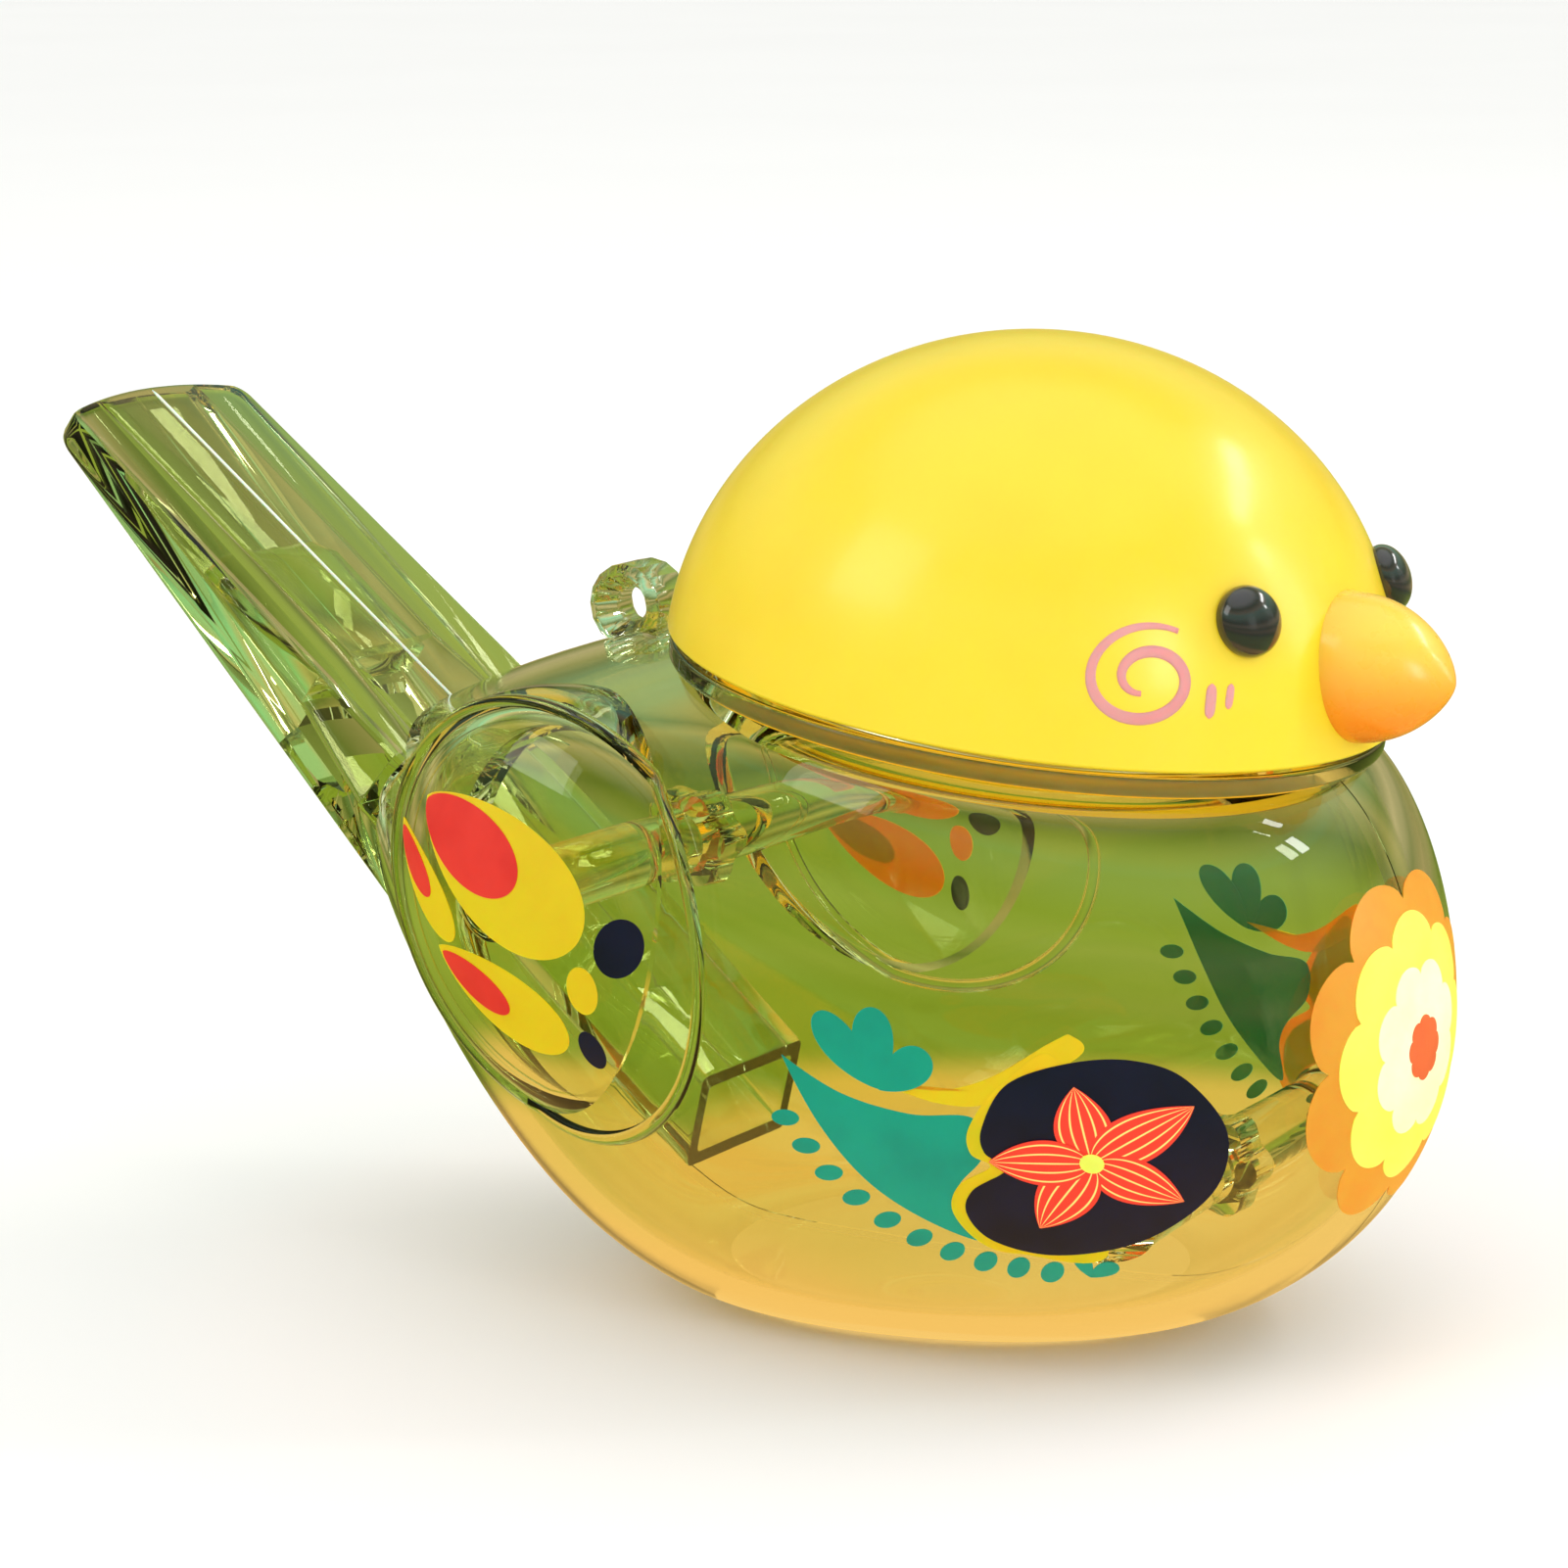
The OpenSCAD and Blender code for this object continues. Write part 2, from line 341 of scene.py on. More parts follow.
def crease(obj: bpy.types.Object, degrees: float = 26.0) -> None:
    """Shades smoothly, with a sharp edge where faces meet at more than the angle."""
    obj.data.polygons.foreach_set("use_smooth", np.ones(len(obj.data.polygons), bool))
    obj.data.set_sharp_from_angle(angle=math.radians(degrees))
    obj.data.update()


def soften(obj: bpy.types.Object, width: float, segments: int, degrees: float) -> None:
    """Rounds the edges sharper than the angle by a bevel of that width in millimetres, and applies it."""
    bevel = obj.modifiers.new("soft_edges", "BEVEL")
    bevel.width, bevel.segments, bevel.limit_method = width * MM, segments, "ANGLE"
    bevel.angle_limit = math.radians(degrees)
    apply_modifiers(obj)


def press(flat: Points, target: bpy.types.Object, axis: Axis, sign: int) -> Points:
    """Flat art pressed straight onto a surface.

    Args:
        flat: grid of art points, rows by columns by 2.
        target: the surface it lands on.
        axis: the axis it is pressed along.
        sign: which side the art comes from.

    Returns:
        The grid on the surface, rows by columns by 3.
    """
    points = np.insert(flat, axis.value, sign * PRESS_FROM, axis=-1)
    rows, cols = flat.shape[:2]
    mesh = bpy.data.meshes.new("art")
    quads = grid_quads(rows, cols, False, False)
    mesh.from_pydata((points.reshape(-1, 3) * MM).tolist(), [], quads.tolist())
    art = add_to_scene("art", mesh)
    wrap = art.modifiers.new("press", "SHRINKWRAP")
    wrap.target, wrap.wrap_method = target, "PROJECT"
    wrap.use_project_x, wrap.use_project_y = axis is Axis.X, axis is Axis.Y
    wrap.use_positive_direction, wrap.use_negative_direction = sign < 0, sign > 0
    apply_modifiers(art)
    pressed = np.empty(len(art.data.vertices) * 3)
    art.data.vertices.foreach_get("co", pressed)
    discard(art)
    return pressed.reshape(rows, cols, 3) / MM


# ---------------------------------------------------------------- finishes


def shade(red: float, green: float, blue: float) -> Colour:
    """A screen colour in 0 to 255 as a linear colour: each channel is taken through the display curve."""
    c = np.array([red, green, blue]) / 255.0
    linear = np.where(c <= 0.04045, c / 12.92, ((c + 0.055) / 1.055) ** 2.4)
    return (*linear.tolist(), 1.0)


class Graph:
    """A small helper that builds one material's nodes."""

    def __init__(self, name: str) -> None:
        """Starts a material with one principled shader."""
        self.material = bpy.data.materials.new(name)
        self.material.use_nodes = True
        self.tree = self.material.node_tree
        self.shader = next(n for n in self.tree.nodes if n.type == "BSDF_PRINCIPLED")

    def node(self, kind: str, **settings: object) -> bpy.types.Node:
        """A new node, with its properties and sockets set by name.

        Args:
            kind: the node's type.
            **settings: properties in lower case, or sockets by their label with _ for spaces.

        Returns:
            The node.
        """
        made = self.tree.nodes.new(kind)
        for key, value in settings.items():
            if hasattr(made, key):
                setattr(made, key, value)
            else:
                made.inputs[key.replace("_", " ")].default_value = value
        return made

    def link(self, source: bpy.types.NodeSocket, target: bpy.types.NodeSocket) -> None:
        """Joins two sockets."""
        self.tree.links.new(source, target)

    def own_coordinates(self) -> bpy.types.NodeSocket:
        """The piece's Object coordinates, in metres."""
        return self.node("ShaderNodeTexCoord").outputs["Object"]

    def noise(self, scale: float, detail: float = 3.0, rough: float = 0.5) -> bpy.types.NodeSocket:
        """A cloudy pattern from 0 to 1 on Object coordinates; scale is in patches a metre."""
        cloud = self.node("ShaderNodeTexNoise", Scale=scale, Detail=detail, Roughness=rough)
        self.link(self.own_coordinates(), cloud.inputs["Vector"])
        return cloud.outputs["Fac"]

    def mix(self, factor: bpy.types.NodeSocket | float, low: object, high: object) -> bpy.types.NodeSocket:
        """A colour between low and high by a factor from 0 to 1."""
        blend = self.node("ShaderNodeMix", data_type="RGBA")
        for socket, value in ((blend.inputs[0], factor), (blend.inputs[6], low), (blend.inputs[7], high)):
            if isinstance(value, bpy.types.NodeSocket):
                self.link(value, socket)
            else:
                socket.default_value = value
        return blend.outputs[2]

    def spread(self, source: bpy.types.NodeSocket, low: float, high: float,
               to_low: float = 0.0, to_high: float = 1.0) -> bpy.types.NodeSocket:
        """A value eased from one range to another."""
        ramp = self.node("ShaderNodeMapRange", interpolation_type="SMOOTHSTEP")
        for label, value in (("From Min", low), ("From Max", high), ("To Min", to_low), ("To Max", to_high)):
            ramp.inputs[label].default_value = value
        self.link(source, ramp.inputs["Value"])
        return ramp.outputs["Result"]

    def along(self, axis: int) -> bpy.types.NodeSocket:
        """One of the piece's Object coordinates: 0 for X, 1 for Y and 2 for Z."""
        split = self.node("ShaderNodeSeparateXYZ")
        self.link(self.own_coordinates(), split.inputs[0])
        return split.outputs[axis]

    def bump(self, height: bpy.types.NodeSocket, strength: float, distance: float) -> None:
        """Gives the shader a relief; the distance is in millimetres."""
        relief = self.node("ShaderNodeBump", Strength=strength, Distance=distance * MM)
        self.link(height, relief.inputs["Height"])
        self.link(relief.outputs["Normal"], self.shader.inputs["Normal"])

    def paint(self, tone: bpy.types.NodeSocket) -> None:
        """Gives the shader its colour from a socket."""
        self.link(tone, self.shader.inputs["Base Color"])

    def set(self, **sockets: object) -> None:
        """Sets the shader's own sockets, named with _ for spaces."""
        for key, value in sockets.items():
            self.shader.inputs[key.replace("_", " ")].default_value = value


@dataclass(frozen=True)
class ClearPlastic:
    """Clear injection-moulded plastic, green toward the tail. The paler breast is painted light where the
    light falls, and the warm base is a painted reflection of a warm ground.
    """

    name: str
    tint: Colour
    # pale: painted light, the lighter tone toward the breast where the light falls.
    pale: Colour
    # warm: a painted reflection of a warm ground, near the base.
    warm: Colour
    warm_below: float = 5.5
    warm_gone: float = 12.5
    pale_from: float = 4.0
    pale_full: float = 30.0
    ior: float = 1.47
    roughness: float = 0.012
    stir: float = 6.0

    def material(self) -> bpy.types.Material:
        """The finish as a material: the tint runs with X and with height, stirred by a soft cloud; the pale
        front is painted light and the warm base a painted reflection.
        """
        g = Graph(self.name)
        cloud = g.noise(70.0, 2.0)

        def stirred(axis: int) -> bpy.types.NodeSocket:
            """One coordinate with the cloud's few millimetres added."""
            added = g.node("ShaderNodeMath", operation="MULTIPLY_ADD")
            g.link(cloud, added.inputs[0])
            added.inputs[1].default_value = self.stir * MM
            g.link(g.along(axis), added.inputs[2])
            return added.outputs[0]

        # Painted light makes the breast paler; a painted warm reflection tints the base.
        fore = g.spread(stirred(0), self.pale_from * MM, self.pale_full * MM)
        rise = g.spread(stirred(2), self.warm_below * MM, self.warm_gone * MM)
        g.paint(g.mix(rise, self.warm, g.mix(fore, self.tint, self.pale)))
        g.set(Transmission_Weight=1.0, Roughness=self.roughness, IOR=self.ior)
        g.bump(g.noise(120.0, 1.0), 0.04, 0.25)
        return g.material


@dataclass(frozen=True)
class SatinPaint:
    """Smooth opaque moulded plastic with a soft sheen and a faint uneven tone; its glow, where set, is
    painted light.
    """

    name: str
    colour: Colour
    deep: Colour
    roughness: float = 0.34
    coat: float = 0.35
    # glow: emission strength, painted light on a piece that is no lamp.
    glow: float = 0.0

    def material(self) -> bpy.types.Material:
        """The finish as a material: two close tones clouded together under a thin clear coat."""
        g = Graph(self.name)
        g.paint(g.mix(g.spread(g.noise(45.0), 0.35, 0.7), self.colour, self.deep))
        g.link(g.spread(g.noise(900.0, 4.0), 0.2, 0.8, self.roughness - 0.04, self.roughness + 0.04),
               g.shader.inputs["Roughness"])
        g.set(Coat_Weight=self.coat, Coat_Roughness=0.16, IOR=1.5, Emission_Color=self.colour,
              Emission_Strength=self.glow, Subsurface_Weight=0.12, Subsurface_Scale=0.003)
        g.bump(g.noise(1500.0, 3.0), 0.04, 0.05)
        return g.material


@dataclass(frozen=True)
class BeakPaint:
    """Orange plastic with painted light: lighter on the top of the beak, and painted shade deeper below."""

    name: str
    # top and under: painted light on the top and painted shade under the beak.
    top: Colour
    under: Colour
    high: float
    low: float

    def material(self) -> bpy.types.Material:
        """The finish as a material: the tone runs from the painted shade of the beak's underside to the
        painted light on its top.
        """
        g = Graph(self.name)
        g.paint(g.mix(g.spread(g.along(2), self.low * MM, self.high * MM), self.under, self.top))
        g.link(g.spread(g.noise(800.0), 0.2, 0.8, 0.24, 0.34), g.shader.inputs["Roughness"])
        g.set(Coat_Weight=0.4, Coat_Roughness=0.12, Subsurface_Weight=0.25, Subsurface_Scale=0.002)
        g.bump(g.noise(1400.0, 3.0), 0.04, 0.05)
        return g.material


@dataclass(frozen=True)
class Ink:
    """One screen-printed colour: a thin film with faint mesh marks.

    The glow stands for the daylight that comes through the film from behind.
    """

    name: str
    colour: Colour
    deep: Colour
    roughness: float = 0.4
    glow: float = 0.10

    def material(self) -> bpy.types.Material:
        """The finish as a material: two close tones and a fine mesh relief."""
        g = Graph(self.name)
        g.paint(g.mix(g.spread(g.noise(220.0), 0.3, 0.75), self.colour, self.deep))
        g.set(Roughness=self.roughness, Specular_IOR_Level=0.3, Emission_Color=self.colour,
              Emission_Strength=self.glow, Subsurface_Weight=0.8, Subsurface_Scale=0.0005)
        g.bump(g.noise(2600.0, 2.0), 0.05, 0.02)
        return g.material


@dataclass(frozen=True)
class Rubber:
    """Milky sealing rubber."""

    name: str
    colour: Colour
    deep: Colour

    def material(self) -> bpy.types.Material:
        """The finish as a material: a soft clouded tone, half translucent."""
        g = Graph(self.name)
        g.paint(g.mix(g.noise(300.0), self.colour, self.deep))
        g.set(Roughness=0.45, Subsurface_Weight=0.4, Subsurface_Scale=0.001)
        g.bump(g.noise(2000.0), 0.1, 0.03)
        return g.material


@dataclass(frozen=True)
class VeinedInk:
    """Petal ink with fine pale veins that run from the petal's base to its tip.

    The piece's UV map gives the share across the petal, -1 to 1, so a vein follows each even step
    of that share and closes up at both ends.
    """

    name: str
    petal: Colour
    vein: Colour
    steps: float = 2.5
    # glow: emission strength, painted light standing for the daylight that comes through the film from
    # behind.
    glow: float = 0.1

    def material(self) -> bpy.types.Material:
        """The finish as a material: veins where the share across comes close to an even step."""
        g = Graph(self.name)
        split = g.node("ShaderNodeSeparateXYZ")
        g.link(g.node("ShaderNodeTexCoord").outputs["UV"], split.inputs[0])
        steps = g.node("ShaderNodeMath", operation="MULTIPLY")
        g.link(split.outputs[0], steps.inputs[0])
        steps.inputs[1].default_value = self.steps
        nearest = g.node("ShaderNodeMath", operation="PINGPONG")
        g.link(steps.outputs[0], nearest.inputs[0])
        nearest.inputs[1].default_value = 0.5
        line = g.spread(nearest.outputs[0], 0.05, 0.12, 1.0, 0.0)
        g.paint(g.mix(line, self.petal, self.vein))
        g.set(Roughness=0.4, Specular_IOR_Level=0.3, Emission_Color=self.petal, Emission_Strength=self.glow)
        g.bump(g.noise(2600.0, 2.0), 0.05, 0.02)
        return g.material


# Each clear finish: the tint, a painted-light pale for the breast and a painted warm reflection for the
# base.
GREEN_SHELL = ClearPlastic(
    "clear_green", (0.84, 0.90, 0.58, 1.0), (0.93, 0.95, 0.78, 1.0), (0.97, 0.89, 0.66, 1.0))
PALE_CLEAR = ClearPlastic(
    "clear_pale", (0.90, 0.94, 0.74, 1.0), (0.94, 0.96, 0.80, 1.0), (0.97, 0.90, 0.70, 1.0))
# The weld's near-white is a painted highlight along the seam.
WELD_HIGHLIGHT = Rubber("weld_painted_highlight", shade(250, 252, 240), shade(236, 240, 214))
SUNNY = SatinPaint("sunny_yellow", shade(243, 214, 38), shade(237, 203, 28))
# The plug glows: painted light on the plug, which sits in shade inside the clear neck.
PLUG_YELLOW = SatinPaint("plug_yellow", shade(250, 196, 30), shade(244, 184, 22), 0.4, 0.2, 0.6)
BEAD = SatinPaint("bead_black", shade(38, 40, 46), shade(24, 25, 30), 0.08, 1.0)
# Beak tones: a painted-light top and a painted-shade underside.
BEAK = BeakPaint("beak_orange", shade(255, 205, 70), shade(250, 140, 20), 45.5, 38.5)
SEAL_RUBBER = Rubber("seal_rubber", shade(232, 230, 214), shade(212, 210, 190))
INK_YELLOW = Ink("ink_yellow", shade(246, 186, 6), shade(240, 178, 4))
INK_RED = Ink("ink_red", shade(233, 48, 38), shade(214, 34, 30))
INK_TEAL = Ink("ink_teal", shade(0, 150, 122), shade(0, 136, 112))
INK_NAVY = Ink("ink_navy", shade(6, 16, 44), shade(2, 8, 30))
INK_ORANGE = Ink("ink_orange", shade(255, 150, 44), shade(250, 136, 34))
INK_LEMON = Ink("ink_lemon", shade(255, 236, 96), shade(252, 226, 78))
INK_CREAM = Ink("ink_cream", shade(255, 250, 196), shade(252, 244, 176))
INK_CORAL = Ink("ink_coral", shade(240, 100, 54), shade(230, 84, 44))
INK_PINK = Ink("ink_pink", shade(247, 150, 148), shade(242, 138, 136))
INK_PETAL = VeinedInk("ink_petal", shade(228, 56, 34), shade(255, 222, 120))


class Palette:
    """Makes each finish's material once and hands it out."""

    made: dict[str, bpy.types.Material] = {}

    @classmethod
    def dress(cls, obj: bpy.types.Object, finish: object) -> None:
        """Gives an object one finish over its whole surface."""
        if finish.name not in cls.made:
            cls.made[finish.name] = finish.material()
        obj.data.materials.clear()
        obj.data.materials.append(cls.made[finish.name])


def fit(obj: bpy.types.Object, body: str, slot: str, finish: object, *nodes: str) -> bpy.types.Object:
    """Dresses a finished piece, lets it ride on its body and hides the nodes it stands for.

    Args:
        obj: the finished piece.
        body: the body it moves with.
        slot: the record's material slot; not used.
        finish: the finish it gets.
        *nodes: the nodes that it replaces.

    Returns:
        The same piece.
    """
    Palette.dress(obj, finish)
    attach(obj, body)
    if nodes:
        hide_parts(*nodes)
    LOG.info("piece %s: %d faces on %s", obj.name, len(obj.data.polygons), body)
    return obj


# ---------------------------------------------------------------- clear body


@dataclass(frozen=True)
class Blob:
    """An ellipsoid that the skin is drawn over: middle, half sizes and how far its nose is down."""

    middle: Triple
    half: Triple
    turn: float


@dataclass(frozen=True)
class DrawnSkin:
    """A smooth cover drawn tight over a few blobs.

    For an outward direction each blob has a farthest point, and a reach along that direction from the
    heart. The skin's point is the sum of the farthest points, each weighted by its reach over the
    joint reach to the power tension - 1, where the joint reach is the power mean sum of them all.
    """

    blobs: tuple[Blob, ...]
    heart: Triple
    tension: float

    def at(self, direction: Points, inset: float = 0.0) -> Points:
        """The skin's points for outward unit directions, moved inward by the inset.

        Args:
            direction: unit vectors, any shape by 3.
            inset: distance inside the skin in millimetres.

        Returns:
            Points of the same shape.
        """
        heart = np.array(self.heart)
        farthest = []
        for blob in self.blobs:
            axes, half = nose_down(blob.turn), np.array(blob.half)
            stretched = (direction @ axes) * half
            unit = stretched / np.linalg.norm(stretched, axis=-1, keepdims=True)
            farthest.append(np.array(blob.middle) - heart + (unit * half) @ axes.T)
        point = np.stack(farthest)
        reach = np.maximum((point * direction).sum(-1), 1e-3)
        longest = reach.max(0)
        joint = longest * ((reach / longest) ** self.tension).sum(0) ** (1.0 / self.tension)
        weight = (reach / joint) ** (self.tension - 1.0)
        return heart + (weight[..., None] * point).sum(0) - inset * direction

    def grid(self, round_steps: int, height_steps: int, inset: float) -> tuple[Points, Points]:
        """A grid of skin points over all directions, and its two pole points."""
        turn = circle_angles(round_steps)[None, :]
        lift = np.linspace(-np.pi / 2, np.pi / 2, height_steps + 1)[1:-1, None]
        direction = np.stack([
            np.cos(lift) * np.cos(turn), np.cos(lift) * np.sin(turn), np.sin(lift) + 0.0 * turn], -1)
        poles = np.array([[0.0, 0.0, -1.0], [0.0, 0.0, 1.0]])
        return self.at(direction, inset), self.at(poles, inset)


@dataclass
class ClearBody:
    """The two clear half shells with their wing pods, tail mouthpiece and joining posts."""

    wall: float = 1.8
    neck_tilt: float = 8.7
    neck_at: Triple = (3.0, 0.0, 40.2)
    base_ease: float = 1.4
    seam_gap: float = 0.12
    pod_middle: Pair = (-18.0, 26.2)
    pod_slant: float = 51.0
    bore: float = 20.45
    seat_top: float = -1.5
    seat_floor: float = -3.8
    tail: Place = Place((-67.15, 0.0, 54.25), 37.5)
    duct: Place = Place((-66.95, 0.0, 51.85), 41.0)
    tail_length: float = 46.0
    tip_width: float = 18.4
    root_width: float = 19.6
    tip_height: float = 2.3
    root_height: float = 9.4
    tip_bow: float = 34.0
    corner_radius: float = 1.8
    corner_centre: float = 2.6
    edge_radius: float = 0.55
    duct_seat: Pair = (11.8, 6.0)
    channel_size: Pair = (10.0, 4.0)
    post_radius: float = 2.15
    foot_length: float = 3.2
    foot_flare: float = 0.5
    pin_radius: float = 1.15
    pin_clearance: float = 0.06
    bead_radius: float = 0.5
    bead_sink: float = 0.1
    rear_post: Triple = (-21.2, 27.4, 23.7)
    front_post: Triple = (17.0, 10.9, 15.0)
    skin_steps: tuple[int, int] = (264, 132)
    pod_steps: tuple[int, int] = (160, 80)
    halves: dict[Side, bpy.types.Object] = field(default_factory=dict)
    targets: dict[str, bpy.types.Object] = field(default_factory=dict)

    @property
    def skin(self) -> DrawnSkin:
        """The body's skin over the bowl, the belly, the tail root and the neck."""
        return DrawnSkin(
            (
                Blob((0.4, 0.0, 20.6), (29.7, 24.9, 22.6), self.neck_tilt),
                Blob((-15.2, 0.0, 10.9), (20.8, 20.4, 11.0), 30.0),
                Blob((-40.0, 0.0, 28.0), (6.5, 8.6, 5.0), 41.0),
                Blob((2.6, 0.0, 37.7), (21.6, 21.6, 1.0), self.neck_tilt),
            ),
            (-4.0, 0.0, 19.0),
            14.0,
        )

    @property
    def neck(self) -> Place:
        """The neck's frame, with Z along its leaning axis."""
        return Place(self.neck_at, self.neck_tilt)

    def pod(self, side: Side) -> DrawnSkin:
        """The skin of one wing pod: a slim root inside the body and a fuller rim outside it."""
        x, z = self.pod_middle
        y = side.value
        return DrawnSkin(
            (
                Blob((x, y * 11.0, z), (13.0, 6.0, 10.3), self.pod_slant),
                Blob((x, y * 19.2, z), (14.6, 6.2, 11.9), self.pod_slant),
            ),
            (x, y * 14.0, z),
            16.0,
        )

    def skin_solid(self, name: str, inset: float) -> bpy.types.Object:
        """The body's skin as a solid, its underside eased flat at the inset's height.

        The height above the floor level becomes half of itself plus half of the root of its square
        and the easing's square, so the belly turns flat without an edge.
        """
        grid, poles = self.skin.grid(*self.skin_steps, inset)

        def eased(points: Points) -> Points:
            """Points with the underside eased flat."""
            above = points[..., 2] - inset
            lifted = 0.5 * (above + np.sqrt(above**2 + self.base_ease**2))
            return np.concatenate([points[..., :2], (lifted + inset)[..., None]], -1)

        grid, poles = eased(grid), eased(poles)
        grid[..., 2] -= poles[0, 2] - inset
        poles[:, 2] -= poles[0, 2] - inset
        return closed_skin(name, grid, (poles[0], poles[1]))

    def pod_solid(self, name: str, side: Side, inset: float) -> bpy.types.Object:
        """One wing pod as a solid."""
        grid, poles = self.pod(side).grid(*self.pod_steps, inset)
        return closed_skin(name, grid, (poles[0], poles[1]))

    def tail_solid(self) -> bpy.types.Object:
        """The mouthpiece: a wedge with a bowed blowing edge, rounded corners and softened edges.

        In plan the half width near the tip is the lesser of the bow's chord, the root of 2 R s - s^2,
        and the corner circle; beyond it runs straight to the root. The top face is flat and the
        bottom face falls away evenly with the distance from the tip.
        """
        corner, start = self.corner_radius, self.corner_centre
        straight = self.tip_width / 2 - corner
        near = start * (1 - np.cos(np.linspace(0.0, np.pi / 2, 26)[1:]))
        bow = np.sqrt(2 * self.tip_bow * near - near**2)
        turn = straight + np.sqrt(np.maximum(corner**2 - (start - near) ** 2, 0.0))
        half = np.minimum(bow, turn)
        distance = np.concatenate([near, [self.tail_length]])
        width = np.concatenate([half, [self.root_width / 2]])
        plan = np.concatenate([
            [[0.0, 0.0]], np.stack([distance, width], -1), np.stack([distance, -width], -1)[::-1]])
        fall = (self.root_height - self.tip_height) / self.tail_length
        count = len(plan)
        top = np.column_stack([plan, np.zeros(count)])
        bottom = np.column_stack([plan, -self.tip_height - fall * plan[:, 0]])
        points = self.tail.put(np.concatenate([top, bottom]))
        caps = np.stack([np.arange(count)[::-1], np.arange(count) + count])
        solid = make_object("tail_solid", points, [grid_quads(2, count, False, True), caps], smooth=False)
        soften(solid, self.edge_radius, 3, 40.0)
        return solid

    def bar(self, name: str, ends: list[Section]) -> bpy.types.Object:
        """A rounded bar through end sections, each a frame and (distance, width, height, middle height)."""
        rows = []
        for place, (along, width, height, middle) in ends:
            ring = bar_ring(width, height, middle, 0.5)
            rows.append(place.put(np.column_stack([np.full(len(ring), along), ring])))
        return closed_skin(name, np.stack(rows))

    def neck_cutter(self) -> bpy.types.Object:
        """Everything above the collar's seat, and the seat's bore."""
        wide, high = 45.0, 50.0
        profile = np.array([
            [0.01, self.seat_floor], [self.bore, self.seat_floor], [self.bore, self.seat_top],
            [wide, self.seat_top], [wide, high], [0.01, high]])
        return closed_skin("neck_cutter", self.neck.put(turned(profile, 256)))

    def post(self, name: str, at: Triple, side: Side, profile: list[Pair],
             lobes: float = 0.0) -> bpy.types.Object:
        """A post turned round the Y axis from a (radius, distance from the centre plane) profile.

        A collar's radius may rise and fall six times round, which gives it grip ribs.
        """
        steps = 72
        shape = np.array(profile, float)
        ribs = lobes * np.cos(6 * circle_angles(steps))[None, :] * (shape[:, :1] > self.post_radius + 0.5)
        grid = turned(shape, steps, ribs)
        points = np.stack([grid[..., 0] + at[0], side.value * grid[..., 2], grid[..., 1] + at[1]], -1)
        return closed_skin(name, points)

    def post_outline(self, reach: float, start: float) -> list[Pair]:
        """A post's side from the centre plane to the wall, where it flares into a moulded foot."""
        y = np.linspace(reach - self.foot_length, reach, 9)
        flare = self.post_radius + self.foot_flare * np.exp(4.0 * (y - reach) / self.foot_length)
        foot = list(zip(flare.tolist(), y.tolist()))
        return [(0.01, start), (self.post_radius, start), *foot, (0.01, reach)]

    def add_posts(self, half: bpy.types.Object, side: Side) -> None:
        """Moulds the posts onto a half: ribbed socket tubes on the right, stepped pins on the left."""
        for at in (self.rear_post, self.front_post):
            if side is Side.RIGHT:
                outline = self.post_outline(at[2], self.seam_gap)
                outline[1:2] = [
                    (3.0, self.seam_gap), (3.15, 0.5), (3.0, 2.6), (2.5, 3.1), (self.post_radius, 3.3)]
                combine(half, self.post("socket", at, side, outline, 0.28), Join.ADD)
                hole = self.pin_radius + self.pin_clearance
                bore = [(0.01, -1.0), (hole, -1.0), (hole, 7.6), (0.01, 8.1)]
                combine(half, self.post("bore", at, side, bore), Join.CUT)
            else:
                outline = self.post_outline(at[2], 0.1)
                tip = [(0.01, -7.0), (0.8, -7.0), (self.pin_radius, -6.6), (self.pin_radius, 0.1)]
                combine(half, self.post("pin", at, side, tip + outline[1:]), Join.ADD)

    def pod_bead(self, side: Side) -> bpy.types.Object:
        """The fine raised bead where a pod meets the shell, a tube along the pod's rim.

        The rim is the pod's outline seen from the side, drawn in by a thirtieth and laid on whichever
        of the pod and the shell stands farther out. The tube's rings lie square to its run.
        """
        outline = oval(self.pod_middle, (14.1, 11.45), -self.pod_slant, 180)
        flat = np.stack([outline, outline], 1)
        laid = [press(flat, self.targets[name], Axis.Y, side.value)[:, 0] for name in ("skin", side.word)]
        missed = PRESS_FROM - 10.0
        reach = [np.where(np.abs(p[:, 1]) > missed, 0.0, np.abs(p[:, 1])) for p in laid]
        height = np.maximum(*reach) - self.bead_sink
        line = np.column_stack([outline[:, 0], side.value * height, outline[:, 1]])
        run = np.roll(line, -1, 0) - np.roll(line, 1, 0)
        run /= np.linalg.norm(run, axis=1, keepdims=True)
        out = np.array([0.0, side.value, 0.0]) - run * (side.value * run[:, 1:2])
        out /= np.linalg.norm(out, axis=1, keepdims=True)
        aside = np.cross(run, out)
        angle = circle_angles(14)[None, :, None]
        round_run = np.cos(angle) * out[:, None] + np.sin(angle) * aside[:, None]
        return closed_ring("pod_bead", line[:, None] + self.bead_radius * round_run)

